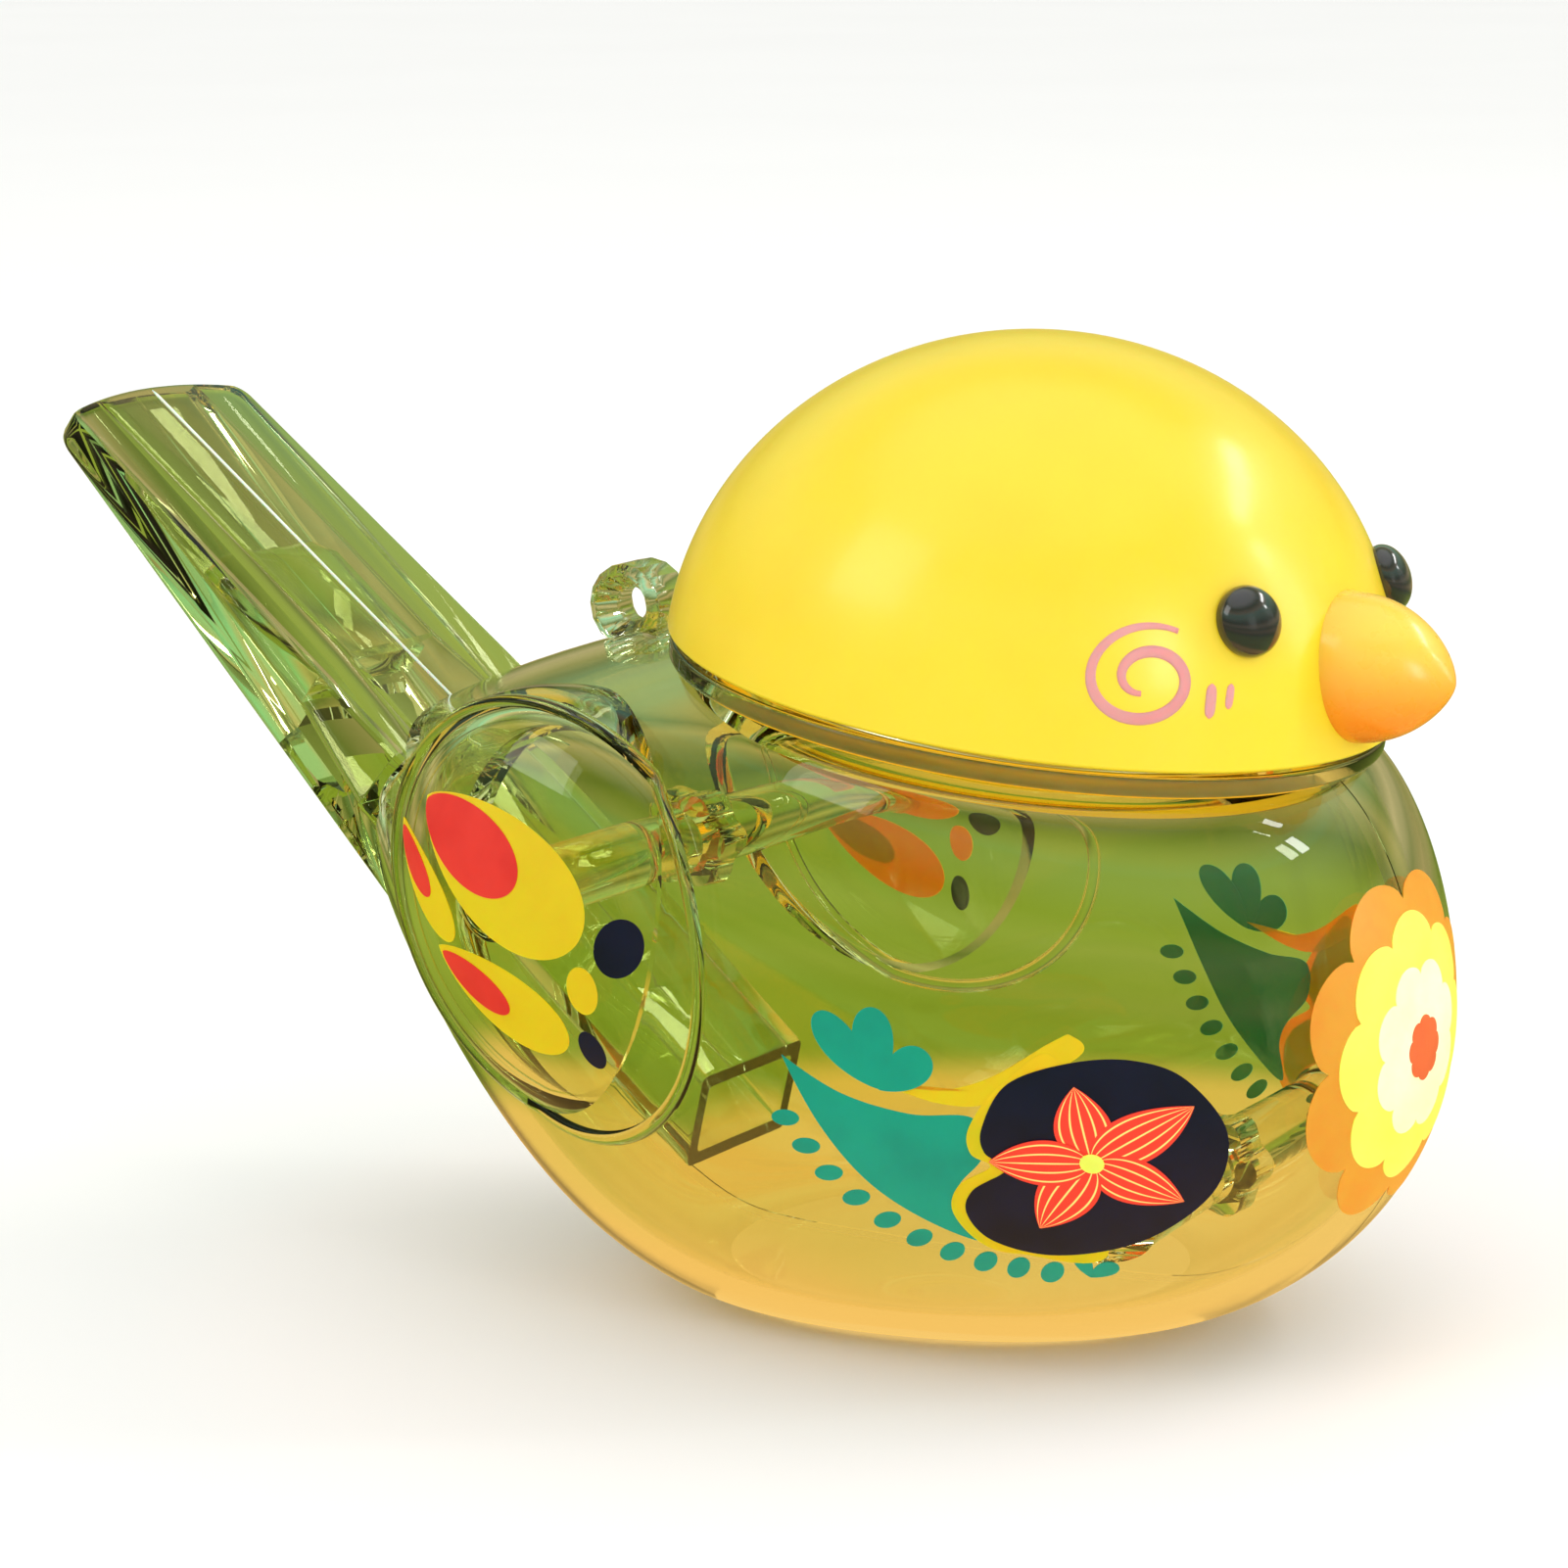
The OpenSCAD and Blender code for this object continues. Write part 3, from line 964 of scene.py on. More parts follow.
    def build(self) -> None:
        """Builds the whole body as one solid, splits it at the centre plane and moulds on the posts."""
        whole = self.skin_solid("whole", 0.0)
        self.targets["skin"] = self.skin_solid("skin_target", 0.0)
        for side in Side:
            pod = self.pod_solid("pod", side, 0.0)
            self.targets[side.word] = self.pod_solid("pod_target_" + side.word, side, 0.0)
            combine(whole, pod, Join.ADD)
            combine(whole, self.pod_bead(side), Join.ADD)
        combine(whole, self.tail_solid(), Join.ADD)
        channel_end = (self.tail, (26.4, *self.channel_size, -2.9))
        window = np.array([
            [27.0, -4.0], [29.6, -4.0], [29.6, -5.0], [33.4, -8.0], [33.4, -9.5], [27.0, -9.5]])
        hollows = [
            self.skin_solid("inner", self.wall),
            self.pod_solid("inner_right", Side.RIGHT, self.wall),
            self.pod_solid("inner_left", Side.LEFT, self.wall),
            self.neck_cutter(),
            self.bar("channel", [(self.tail, (-1.0, 10.4, 1.1, -1.15)), channel_end]),
            self.bar("throat", [channel_end, (self.duct, (33.5, *self.duct_seat, 0.0))]),
            self.bar("seat", [(self.duct, (along, *self.duct_seat, 0.0)) for along in (32.8, 47.0)]),
            prism("window", window, 4.2, self.tail),
        ]
        for hollow in hollows:
            combine(whole, hollow, Join.CUT)
        everything = np.array([[-90.0, -10.0], [60.0, -10.0], [60.0, 90.0], [-90.0, 90.0]])
        reach = 40.0
        for side in Side:
            half = add_to_scene("clear_shell_" + side.word, whole.data.copy())
            beside = Place((0.0, side.value * (reach + self.seam_gap / 2), 0.0))
            combine(half, prism("half_box", everything, reach, beside), Join.SHARE)
            self.add_posts(half, side)
            crease(half)
            self.halves[side] = half
        discard(whole)

    def dress(self) -> None:
        """Gives both halves the green shell finish."""
        nodes = {
            Side.RIGHT: ("shell_right", "rear_post_socket", "front_post_socket"),
            Side.LEFT: ("shell_left", "rear_post_pin", "front_post_pin"),
        }
        for side, half in self.halves.items():
            fit(half, BOTTLE, "clear_shell", GREEN_SHELL, *nodes[side])


@dataclass
class WhistleParts:
    """What sits inside the tail: the block under the breath slit, and the sound duct down to the floor."""

    body: ClearBody
    block_half_width: float = 4.93
    block_edge: float = 0.15
    duct_outside: Pair = (11.6, 5.8)
    duct_inside: Pair = (9.4, 4.1)
    duct_from: float = 34.0
    duct_to: float = 64.5
    duct_lip: float = 0.3
    mouth_slant: float = 0.53
    weld_from: float = 0.5
    weld_to: float = 33.1
    weld_radius: float = 0.13
    weld_taper: float = 0.6

    def block(self) -> bpy.types.Object:
        """The wedge on the channel's floor, with a sloped entry."""
        outline = np.array([[15.0, -3.38], [26.4, -4.78], [26.4, -2.05], [17.0, -1.85], [15.0, -2.8]])
        made = prism("breath_block", outline, self.block_half_width, self.body.tail)
        soften(made, self.block_edge, 2, 30.0)
        crease(made, 40.0)
        return made

    def sound_duct(self) -> bpy.types.Object:
        """A flat rectangular tube whose lower mouth is cut on a slant.

        Its rings of points run down the outside and back up the inside, with an eased lip at both ends.
        At the mouth the distance falls by the slant times the height.
        """
        outer, inner = bar_ring(*self.duct_outside, 0.0, 0.5), bar_ring(*self.duct_inside, 0.0, 0.35)
        start, stop, lip, slant = self.duct_from, self.duct_to, self.duct_lip, self.mouth_slant

        def row(ring: Points, along: float, tilt: float) -> Points:
            """One ring of the tube at a distance along it, tilted with height."""
            return self.body.duct.put(np.column_stack([along - tilt * ring[:, 1], ring]))

        rows = [
            row(outer, start, 0.0), row(outer, start + lip, 0.0),
            row(outer, stop - lip, slant), row(outer * 0.99, stop, slant),
            row(inner * 1.02, stop, slant), row(inner, stop - lip, slant),
            row(inner, start + lip, 0.0), row(inner * 1.02, start, 0.0)]
        made = closed_ring("sound_duct_tube", np.stack(rows))
        crease(made, 35.0)
        return made

    def weld_line(self) -> bpy.types.Object:
        """The weld along the middle of the mouthpiece's top, a low tube tapered at both ends; its near-white
        finish is a painted highlight.
        """
        along = np.linspace(self.weld_from + 0.1, self.weld_to - 0.1, 60)[:, None]
        from_end = np.minimum(along - self.weld_from, self.weld_to - along) / self.weld_taper
        radius = self.weld_radius * np.sqrt(np.clip(from_end, 0.02, 1.0))
        angle = circle_angles(12)[None, :]
        grid = np.stack([along + 0.0 * angle, radius * np.cos(angle), radius * np.sin(angle) - 0.02], -1)
        return closed_skin("weld_line", self.body.tail.put(grid))

    def build(self) -> None:
        """Makes, dresses and places both parts."""
        fit(self.weld_line(), BOTTLE, "clear_shell", WELD_HIGHLIGHT)
        fit(self.block(), BOTTLE, "clear_insert", PALE_CLEAR, "fipple_block")
        fit(self.sound_duct(), BOTTLE, "clear_insert", PALE_CLEAR, "sound_duct")


@dataclass
class NeckParts:
    """The collar that takes the head, and the lanyard ring behind it."""

    body: ClearBody
    bore: float = 19.0
    flange: float = 22.4
    tube_wall: float = 1.4
    tube_floor: float = -3.6
    flange_floor: float = -1.45
    flange_top: float = -0.15
    ring_at: Triple = (-26.2, 0.0, 42.2)
    ring_radius: float = 2.75
    ring_hole: float = 1.1
    ring_depth: float = 4.4
    ring_edge: float = 0.5
    ring_throat: float = 1.4
    countersink: float = 0.95
    flats: int = 16

    def collar(self) -> bpy.types.Object:
        """A bushing with a thin flange, turned from its rounded profile."""
        tube = self.bore + self.tube_wall
        corners = [
            (self.bore, self.tube_floor), (tube, self.tube_floor), (tube, self.flange_floor),
            (self.flange, self.flange_floor), (self.flange, self.flange_top), (self.bore, self.flange_top)]
        grid = self.body.neck.put(turned(rounded(corners, 0.35), 288))
        made = closed_ring("clear_collar", grid)
        crease(made, 40.0)
        return made

    def lanyard_ring(self) -> bpy.types.Object:
        """A thick ring round the Y axis, with flats outside and a smooth hole countersunk at both ends.

        Within each flat the radius is divided by the cosine of the angle from the flat's middle.
        """
        flare, face = self.ring_hole + self.countersink, self.ring_depth / 2
        side, throat = face - self.ring_edge, self.ring_throat / 2
        corners = [(flare, -face), (self.ring_radius, -side), (self.ring_radius, side), (flare, face),
                   (self.ring_hole, throat), (self.ring_hole, -throat)]
        profile = rounded(corners, 0.18, 2)
        steps = 96
        half_flat = np.pi / self.flats
        sector = np.mod(circle_angles(steps), 2 * half_flat) - half_flat
        flat = np.cos(half_flat) / np.cos(sector) - 1.0
        outside = np.clip((profile[:, :1] - self.ring_hole) / (self.ring_radius - self.ring_hole), 0, 1)
        grid = turned(profile, steps, outside * flat[None, :] * self.ring_radius)
        points = np.stack([grid[..., 0], -grid[..., 2], grid[..., 1]], -1) + np.array(self.ring_at)
        made = closed_ring("lanyard_eye", points)
        crease(made, 18.0)
        return made

    def build(self) -> None:
        """Makes, dresses and places the collar and the ring."""
        fit(self.collar(), BOTTLE, "clear_collar", PALE_CLEAR, "neck_collar")
        fit(self.lanyard_ring(), BOTTLE, "clear_shell", PALE_CLEAR, "lanyard_ring")


# ---------------------------------------------------------------- head


@dataclass
class Head:
    """The lift-off yellow head with its beak, bead eyes and painted cheeks."""

    body: ClearBody
    radius: float = 22.7
    height: float = 21.1
    wall: float = 1.6
    turn: float = -1.0
    gap: float = 0.3
    beak_at: Triple = (25.2, 0.0, 42.3)
    beak_turn: float = 95.0
    beak_radius: float = 4.5
    beak_length: float = 6.6
    eye_swing: float = 25.0
    eye_at: Pair = (21.9, 5.6)
    eye_radius: float = 2.15
    eye_rise: float = 1.5
    eye_lean: float = 73.2
    lip: float = 0.35
    skirt_length: float = 25.0
    cheek_at: Pair = (42.2, 8.0)

    @property
    def place(self) -> Place:
        """The head's frame, nearly upright over the neck."""
        return Place(self.body.neck_at, self.turn)

    def surface(self, swing_angle: Points, lift: Points, out: float = 0.0) -> Points:
        """Points on the dome for a swing round it and a lift over its rim, both in radians.

        The dome is a half ellipsoid: radius times the cosine of the lift, and height times its sine.
        """
        r, z = (self.radius + out) * np.cos(lift), (self.height + out) * np.sin(lift)
        return self.place.put(np.stack([r * np.cos(swing_angle), r * np.sin(swing_angle), z], -1))

    def shell(self) -> bpy.types.Object:
        """The dome with its wall and a rounded lip that lies along the leaning neck plane.

        Down each meridian the side is the ellipse above the rim height and a straight skirt below it.
        The end of each meridian is found by halving the span until it meets the neck plane.
        """
        steps, rows = 256, 72
        angle = circle_angles(steps)[None, :]
        lip = self.lip
        normal = nose_down(self.body.neck_tilt)[:, 2]
        start = np.array(self.body.neck_at) + normal * self.gap / 2

        def side(u: Points, thick: float) -> Points:
            """Points down the meridians: u from 0 at the top to 1 at the rim height and on below it."""
            lift = np.pi / 2 * (1 - np.minimum(u, 1.0))
            r = (self.radius - thick) * np.cos(lift)
            z = (self.height - thick) * np.sin(lift) - np.maximum(u - 1.0, 0.0) * self.skirt_length
            x, y = r * np.cos(angle), r * np.sin(angle)
            return self.place.put(np.stack([x, y, np.broadcast_to(z, x.shape)], -1))

        def meridians(thick: float, stop: float) -> Points:
            """The grid from the top down to the given height above the neck plane."""
            low, high = np.full((1, steps), 0.3), np.full((1, steps), 1.4)
            for _ in range(40):
                middle = (low + high) / 2
                above = (side(middle, thick) - start) @ normal > stop
                low, high = np.where(above, middle, low), np.where(above, high, middle)
            share = np.sin(np.linspace(0.012, 1.0, rows) * np.pi / 2)[:, None]
            return side(low * share, thick)

        outer, inner = meridians(0.0, lip), meridians(self.wall, lip)
        middle, half = (outer[-1] + inner[-1]) / 2, (outer[-1] - inner[-1]) / 2
        t = np.linspace(0.0, np.pi, 10)[1:-1, None, None]
        rim = middle + half * np.cos(t) - normal * lip * np.sin(t)
        grid = np.concatenate([outer, rim, inner[::-1]])
        top, under = (side(np.zeros((1, 1)), thick)[0, 0] for thick in (0.0, self.wall))
        return closed_skin("head_shell", grid, (top, under))

    def beak(self) -> bpy.types.Object:
        """A short rounded cone: the radius is the root radius times (1 - t^2.1)^0.72 along its length."""
        t = np.concatenate([[-0.35, -0.1], np.linspace(0.0, 1.0, 40) ** 0.8])
        t[-1] = 0.9995
        r = self.beak_radius * np.maximum(1 - np.maximum(t, 0.0) ** 2.1, 0.0) ** 0.72
        profile = np.stack([r, t * self.beak_length], -1)
        grid = turned(profile, 128)
        return closed_skin("beak_cone", Place(self.beak_at, self.beak_turn).put(grid))

    def eye(self, side: Side) -> bpy.types.Object:
        """A flat-backed bead with an elliptic dome, set square to the head's surface."""
        a = np.linspace(0.0, np.pi / 2, 20)
        dome = np.stack([self.eye_radius * np.cos(a), 0.15 + self.eye_rise * np.sin(a)], -1)
        dome[-1, 0] = 0.02
        back = [[0.02, -0.9], [self.eye_radius * 0.9, -0.9], [self.eye_radius * 0.98, -0.1]]
        bead = Place((self.eye_at[0], 0.0, self.eye_at[1]), self.eye_lean)
        local = bead.put(turned(np.concatenate([back, dome]), 96)) @ swing(side.value * self.eye_swing).T
        return closed_skin("eye_bead_" + side.word, self.place.put(local))

    def cheek_point(self, side: Side, across: Points, up: Points) -> tuple[Points, Points]:
        """Swing and lift of a cheek point given in millimetres from the cheek's middle.

        Args:
            side: which cheek.
            across: distance toward the beak.
            up: distance up.

        Returns:
            Swing and lift angles in radians.
        """
        middle_swing, middle_lift = (math.radians(degrees) for degrees in self.cheek_at)
        return side.value * (middle_swing - across / self.radius), middle_lift + up / self.height

    def stroke(self, name: str, side: Side, line: Points, width: Points) -> bpy.types.Object:
        """A painted stroke on the dome: a line in cheek millimetres widened square to its run.

        Args:
            name: the piece's name.
            side: which cheek.
            line: points of the stroke's middle line.
            width: its half width at each point.

        Returns:
            A closed film a twentieth of a millimetre thick.
        """
        run = np.gradient(line, axis=0)
        run /= np.linalg.norm(run, axis=1, keepdims=True)
        square = np.stack([-run[:, 1], run[:, 0]], -1)
        around = circle_angles(12)
        offset = np.cos(around)[None, :, None] * width[:, None, None] * square[:, None, :]
        flat = line[:, None, :] + offset
        lift_out = 0.015 + 0.045 * np.sin(around)[None, :] * np.ones((len(line), 1))
        s, l = self.cheek_point(side, flat[..., 0], flat[..., 1])
        base = self.surface(s, l)
        beyond = self.surface(s, l, 1.0)
        made = closed_skin(name, base + (beyond - base) * lift_out[..., None])
        return fit(made, HEAD, "beak_orange", INK_PINK)

    def cheeks(self) -> None:
        """A curl and two short dashes on each cheek; the curl's radius shrinks evenly as it turns in."""
        for side in Side:
            t = np.linspace(0.0, 1.0, 140)
            angle = math.radians(55) + t * math.radians(555)
            radius = 3.6 - 2.6 * t
            curl = np.stack([1.1 * radius * np.cos(angle) - 0.3, 0.88 * radius * np.sin(angle)], -1)
            width = 0.12 + 0.25 * np.sin(np.pi * np.clip(t, 0.02, 0.98)) ** 0.6
            self.stroke("cheek_curl_" + side.word, side, curl, width)
            u = np.linspace(-1.0, 1.0, 14)
            taper = np.sqrt(np.maximum(1 - u**4, 0.02))
            for number, (x, z, long, wide) in enumerate(((3.7, -1.6, 1.0, 0.36), (5.0, -1.45, 0.72, 0.27))):
                dash = np.stack([x + 0.16 * u, z + long * u], -1)
                self.stroke(f"cheek_dash_{number}_{side.word}", side, dash, wide * taper)

    def build(self) -> None:
        """Makes, dresses and places the head's pieces, and dresses the plug and the seal."""
        fit(self.shell(), HEAD, "head_yellow", SUNNY, "head_dome")
        fit(self.beak(), HEAD, "beak_orange", BEAK, "beak")
        for side in Side:
            fit(self.eye(side), HEAD, "eye_black", BEAD, "eye_" + side.word)
        self.cheeks()
        Palette.dress(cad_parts["head_plug"], PLUG_YELLOW)
        Palette.dress(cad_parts["seal_ring"], SEAL_RUBBER)


# ---------------------------------------------------------------- prints


def teardrop(tip: Pair, end: Pair, width: float, fullness: float = 0.7, waist: float = 0.0,
             count: int = 72) -> Points:
    """A drop from a sharp tip to a round end.

    Along its axis it follows the cosine of a full turn. Across it, it is the sine, times the sine of
    the half angle to the power `fullness`, times the cosine of the half angle to the power `waist`,
    all scaled so that the widest place is that wide.

    Args:
        tip: the sharp end.
        end: the round end.
        width: the greatest width.
        fullness: how late the drop swells.
        waist: how much the round end draws in.
        count: points on the outline.

    Returns:
        The outline's points.
    """
    tip_at, end_at = np.array(tip), np.array(end)
    axis = (end_at - tip_at) / 2
    square = np.array([-axis[1], axis[0]]) / np.linalg.norm(axis)
    t = circle_angles(count)
    swell = np.sin(t) * np.abs(np.sin(t / 2)) ** fullness * np.abs(np.cos(t / 2)) ** waist
    swell *= width / 2 / swell.max()
    return (tip_at + axis) - np.cos(t)[:, None] * axis + swell[:, None] * square


def oval(middle: Pair, half: Pair, turn: float = 0.0, count: int = 48) -> Points:
    """An ellipse turned anticlockwise by so many degrees."""
    t = circle_angles(count)
    c, s = math.cos(math.radians(turn)), math.sin(math.radians(turn))
    flat = np.stack([half[0] * np.cos(t), half[1] * np.sin(t)], -1)
    return flat @ np.array([[c, s], [-s, c]]) + np.array(middle)


def scallop(middle: Pair, radius: float, lobes: int, depth: float, start: float = 0.0) -> Points:
    """A round blossom with bulging lobes: the radius dips toward each notch as a rectified sine."""
    t = circle_angles(lobes * 20)
    wave = np.abs(np.sin(lobes * (t - math.radians(start)) / 2)) ** 0.62
    r = radius * (1 - depth + depth * wave)
    return np.stack([r * np.cos(t), r * np.sin(t)], -1) + np.array(middle)


@dataclass
class Prints:
    """Screen-printed pictures on both wings, both flanks and the breast.

    Every picture is flat art in millimetres, pressed straight onto the shell: along Y for the wings
    and flanks, whose art is (X, Z), and along X for the breast, whose art is (Y, Z).
    """

    body: ClearBody
    film: float = 0.05
    layer: float = 0.05
    lift_off: float = 0.012
    left_wing_back: float = 2.4
    flower_heart: Pair = (18.2, 15.5)

    def patch(self, name: str, outline: Points, ink: Ink | VeinedInk, target: str, level: float,
              axis: Axis = Axis.Y, sign: int = -1, middle: Pair | None = None, rings: int = 14,
              spine: tuple[Pair, Pair] | None = None) -> bpy.types.Object:
        """A filled printed shape: rings of its outline shrunk toward its middle, pressed and thickened.

        Args:
            name: the piece's name.
            outline: closed outline of the flat art.
            ink: its colour.
            target: which surface it lands on.
            level: how many films lie under it.
            axis: the axis it is pressed along.
            sign: the side it comes from.
            middle: the point the rings shrink to, or None for the outline's mean.
            rings: rings between the middle and the outline.
            spine: the two ends of a petal's middle line, for a map of the share across the petal.

        Returns:
            The printed piece.
        """
        centre = np.array(middle) if middle is not None else outline.mean(0)
        share = np.linspace(0.0, 1.0, rings + 1)[:, None, None]
        flat = centre + share * (np.vstack([outline, outline[:1]])[None] - centre)
        surface = press(flat, self.body.targets[target], axis, sign)
        d_row = np.gradient(surface[1:], axis=0)
        d_col = np.gradient(surface[1:], axis=1)
        normal = np.cross(d_row, d_col)
        normal /= np.maximum(np.linalg.norm(normal, axis=-1, keepdims=True), 1e-9)
        outward = sign * np.eye(3)[axis.value]
        normal *= np.where((normal @ outward) < 0, -1.0, 1.0)[..., None]
        low = self.lift_off + level * self.layer
        base, top = surface[1:] + normal * low, surface[1:] + normal * (low + self.film)
        body = np.concatenate([top, base[::-1]])[:, :-1]
        poles = (surface[0, 0] + normal[0, 0] * (low + self.film), surface[0, 0] + normal[0, 0] * low)
        made = closed_skin(name, body, poles)
        if spine is not None:
            rows = np.concatenate([flat[1:], flat[:0:-1]])[:, :-1].reshape(-1, 2)
            self.lay_map(made, np.vstack([rows, centre, centre]), outline, spine)
        crease(made, 50.0)
        return fit(made, BOTTLE, "clear_shell", ink)

    @staticmethod
    def lay_map(obj: bpy.types.Object, flat: Points, outline: Points, spine: tuple[Pair, Pair]) -> None:
        """A map whose U is the share across a petal and whose V is the share along it.

        Args:
            obj: the printed petal.
            flat: each vertex's place in the flat art.
            outline: the petal's outline.
            spine: the ends of the petal's middle line.
        """
        start, run = np.array(spine[0]), np.array(spine[1]) - np.array(spine[0])
        length = np.linalg.norm(run)
        axes = np.stack([run, [-run[1], run[0]]], -1) / length
        edge, inside = (outline - start) @ axes, (flat - start) @ axes
        upper = edge[edge[:, 1] >= 0]
        upper = upper[np.argsort(upper[:, 0])]
        width = np.maximum(np.interp(inside[:, 0], upper[:, 0], upper[:, 1]), 0.05)
        share = np.stack([np.clip(inside[:, 1] / width, -1, 1), inside[:, 0] / length], -1)
        corner = np.empty(len(obj.data.loops), np.int32)
        obj.data.loops.foreach_get("vertex_index", corner)
        layer = obj.data.uv_layers.new(name="petal")
        layer.data.foreach_set("uv", share[corner].astype(np.float32).ravel())

    def wing(self, side: Side) -> None:
        """Three drops with red hearts and three dots on one wing pod."""
        back = self.left_wing_back if side is Side.LEFT else 0.0
        drops = (
            ("drop_top", (-26.3, 33.4), (-13.9, 26.0), 7.4, 0.5, INK_YELLOW, 0),
            ("heart_top", (-26.2, 33.2), (-18.4, 28.9), 4.7, 0.3, INK_RED, 1),
            ("drop_back", (-28.9, 31.6), (-23.6, 24.8), 2.7, 0.6, INK_YELLOW, 0),
            ("heart_back", (-28.7, 31.2), (-25.6, 27.3), 1.6, 0.4, INK_RED, 1),
            ("drop_low", (-25.0, 24.3), (-15.2, 19.2), 4.2, 0.6, INK_YELLOW, 0),
            ("heart_low", (-24.6, 24.0), (-19.3, 20.9), 2.1, 0.4, INK_RED, 1))
        for name, tip, end, width, fullness, ink, level in drops:
            if side is Side.LEFT and name.endswith("back"):
                continue
            outline = teardrop(tip, end, width, fullness) - np.array([back, 0.0])
            self.patch(f"wing_{name}_{side.word}", outline, ink, side.word, level, sign=side.value)
        dots = (
            ("big", (-11.4, 25.7), (1.5, 1.85), -18, INK_NAVY),
            ("mid", (-13.8, 22.9), (1.0, 1.5), 8, INK_YELLOW),
            ("small", (-13.6, 19.1), (0.75, 1.25), 22, INK_NAVY))
        for name, middle, half, turn, ink in dots:
            outline = oval((middle[0] - back, middle[1]), half, turn)
            self.patch(f"wing_dot_{name}_{side.word}", outline, ink, side.word, 0, sign=side.value)

    def flank(self, side: Side) -> None:
        """The teal leaf with its sprig, the yellow tendril, the navy pool and the red flower."""
        w, s = side.word, side.value
        leaf = smooth_loop([
            (0.6, 20.9), (0.6, 20.9), (4.4, 19.0), (8.6, 18.1), (12.2, 18.1), (12.6, 15.8), (11.0, 13.8),
            (10.6, 12.2), (11.6, 10.0), (8.8, 11.1), (5.6, 13.4), (2.9, 16.8)])
        self.patch(f"leaf_{w}", leaf, INK_TEAL, "skin", 0, sign=s, middle=(7.6, 15.4), rings=20)
        for number, (tip, width) in enumerate((((2.9, 23.7), 2.3), ((6.4, 24.4), 2.5), ((9.9, 21.9), 2.4))):
            petal = teardrop((6.9, 19.5), tip, width, 0.75)
            self.patch(f"sprig_{number}_{w}", petal, INK_TEAL, "skin", number + 1, sign=s)
        tendril = smooth_loop([
            (6.7, 20.0), (6.7, 20.0), (10.4, 18.9), (13.6, 19.2), (17.9, 22.0), (17.5, 23.2), (16.6, 22.9),
            (13.2, 20.6), (10.2, 19.7)])
        self.patch(f"tendril_{w}", tendril, INK_YELLOW, "skin", 0.5, sign=s, middle=(12.4, 19.8), rings=16)
        rim = smooth_loop([
            (16.9, 21.5), (14.0, 20.4), (12.0, 17.6), (11.9, 15.9), (12.9, 15.1), (11.0, 13.8), (10.3, 12.0),
            (11.4, 9.9), (13.4, 9.2), (18.0, 9.6)])
        self.patch(f"pool_rim_{w}", rim, INK_YELLOW, "skin", 1, sign=s, middle=(14.4, 15.3), rings=16)
        pool = smooth_loop([
            (17.4, 21.6), (14.2, 20.3), (12.7, 17.6), (12.7, 16.0), (13.8, 15.0), (11.7, 13.5), (11.1, 11.9),
            (12.2, 10.1), (15.4, 9.2), (19.8, 10.2), (23.4, 13.2), (24.4, 17.0), (22.8, 20.4), (20.4, 21.7)])
        self.patch(f"pool_{w}", pool, INK_NAVY, "skin", 2, sign=s, middle=(17.9, 15.4), rings=20)
        heart = self.flower_heart
        tips = ((17.6, 20.2), (23.1, 18.8), (22.1, 12.8), (14.9, 11.2), (12.9, 15.5))
        for number, tip in enumerate(tips):
            self.patch(f"petal_{number}_{w}", teardrop(tip, heart, 2.9, 0.9, 0.4), INK_PETAL, "skin",
                       3 + 0.3 * number, sign=s, spine=(heart, tip))
        self.patch(f"flower_eye_{w}", oval(heart, (0.6, 0.6)), INK_LEMON, "skin", 5, sign=s, rings=6)
        self.dotted_line(side)

    def dotted_line(self, side: Side) -> None:
        """A row of small teal seeds that swings under the leaf, with a two-leaf sprig at its end."""
        path = smooth_line([(0.6, 17.0), (3.4, 13.4), (7.0, 10.4), (10.8, 8.6), (14.6, 7.8)], 10)
        run = np.gradient(path, axis=0)
        for number, (at, way) in enumerate(zip(path.tolist(), run.tolist())):
            turn = math.degrees(math.atan2(way[1], way[0]))
            seed = oval((at[0], at[1]), (0.95, 0.5), turn + 60, 28)
            self.patch(f"seed_{number}_{side.word}", seed, INK_TEAL, "skin", 0, sign=side.value, rings=6)
        for number, tip in enumerate(((16.4, 9.3), (18.0, 8.4))):
            leaf = teardrop((16.4, 7.4), tip, 0.9, 0.8)
            self.patch(f"seed_leaf_{number}_{side.word}", leaf, INK_TEAL, "skin", 0,
                       sign=side.value, rings=6)

    def breast(self) -> None:
        """The layered blossom on the breast, each layer a scalloped disc over the last."""
        middle = (0.0, 19.6)
        layers = ((10.6, 0.16, 0.0, INK_ORANGE), (8.2, 0.15, 22.5, INK_LEMON),
                  (5.3, 0.16, 0.0, INK_CREAM), (2.0, 0.14, 22.5, INK_CORAL))
        for level, (radius, depth, turn, ink) in enumerate(layers):
            self.patch(f"blossom_{level}", scallop(middle, radius, 8, depth, turn), ink, "skin", level,
                       axis=Axis.X, sign=1, middle=middle, rings=20)

    def build(self) -> None:
        """Prints both wings, both flanks and the breast."""
        for side in Side:
            self.wing(side)
            self.flank(side)
        self.breast()


# ---------------------------------------------------------------- studio


def fill_ramp(ramp: bpy.types.Node, stops: tuple[tuple[float, Triple], ...]) -> None:
    """Gives a colour ramp its stops, each a place from 0 to 1 and a colour."""
    elements = ramp.color_ramp.elements
    elements.remove(elements[1])
    for number, (at, tone) in enumerate(stops):
        stop = elements[0] if number == 0 else elements.new(at)
        stop.position, stop.color = at, (*tone, 1.0)


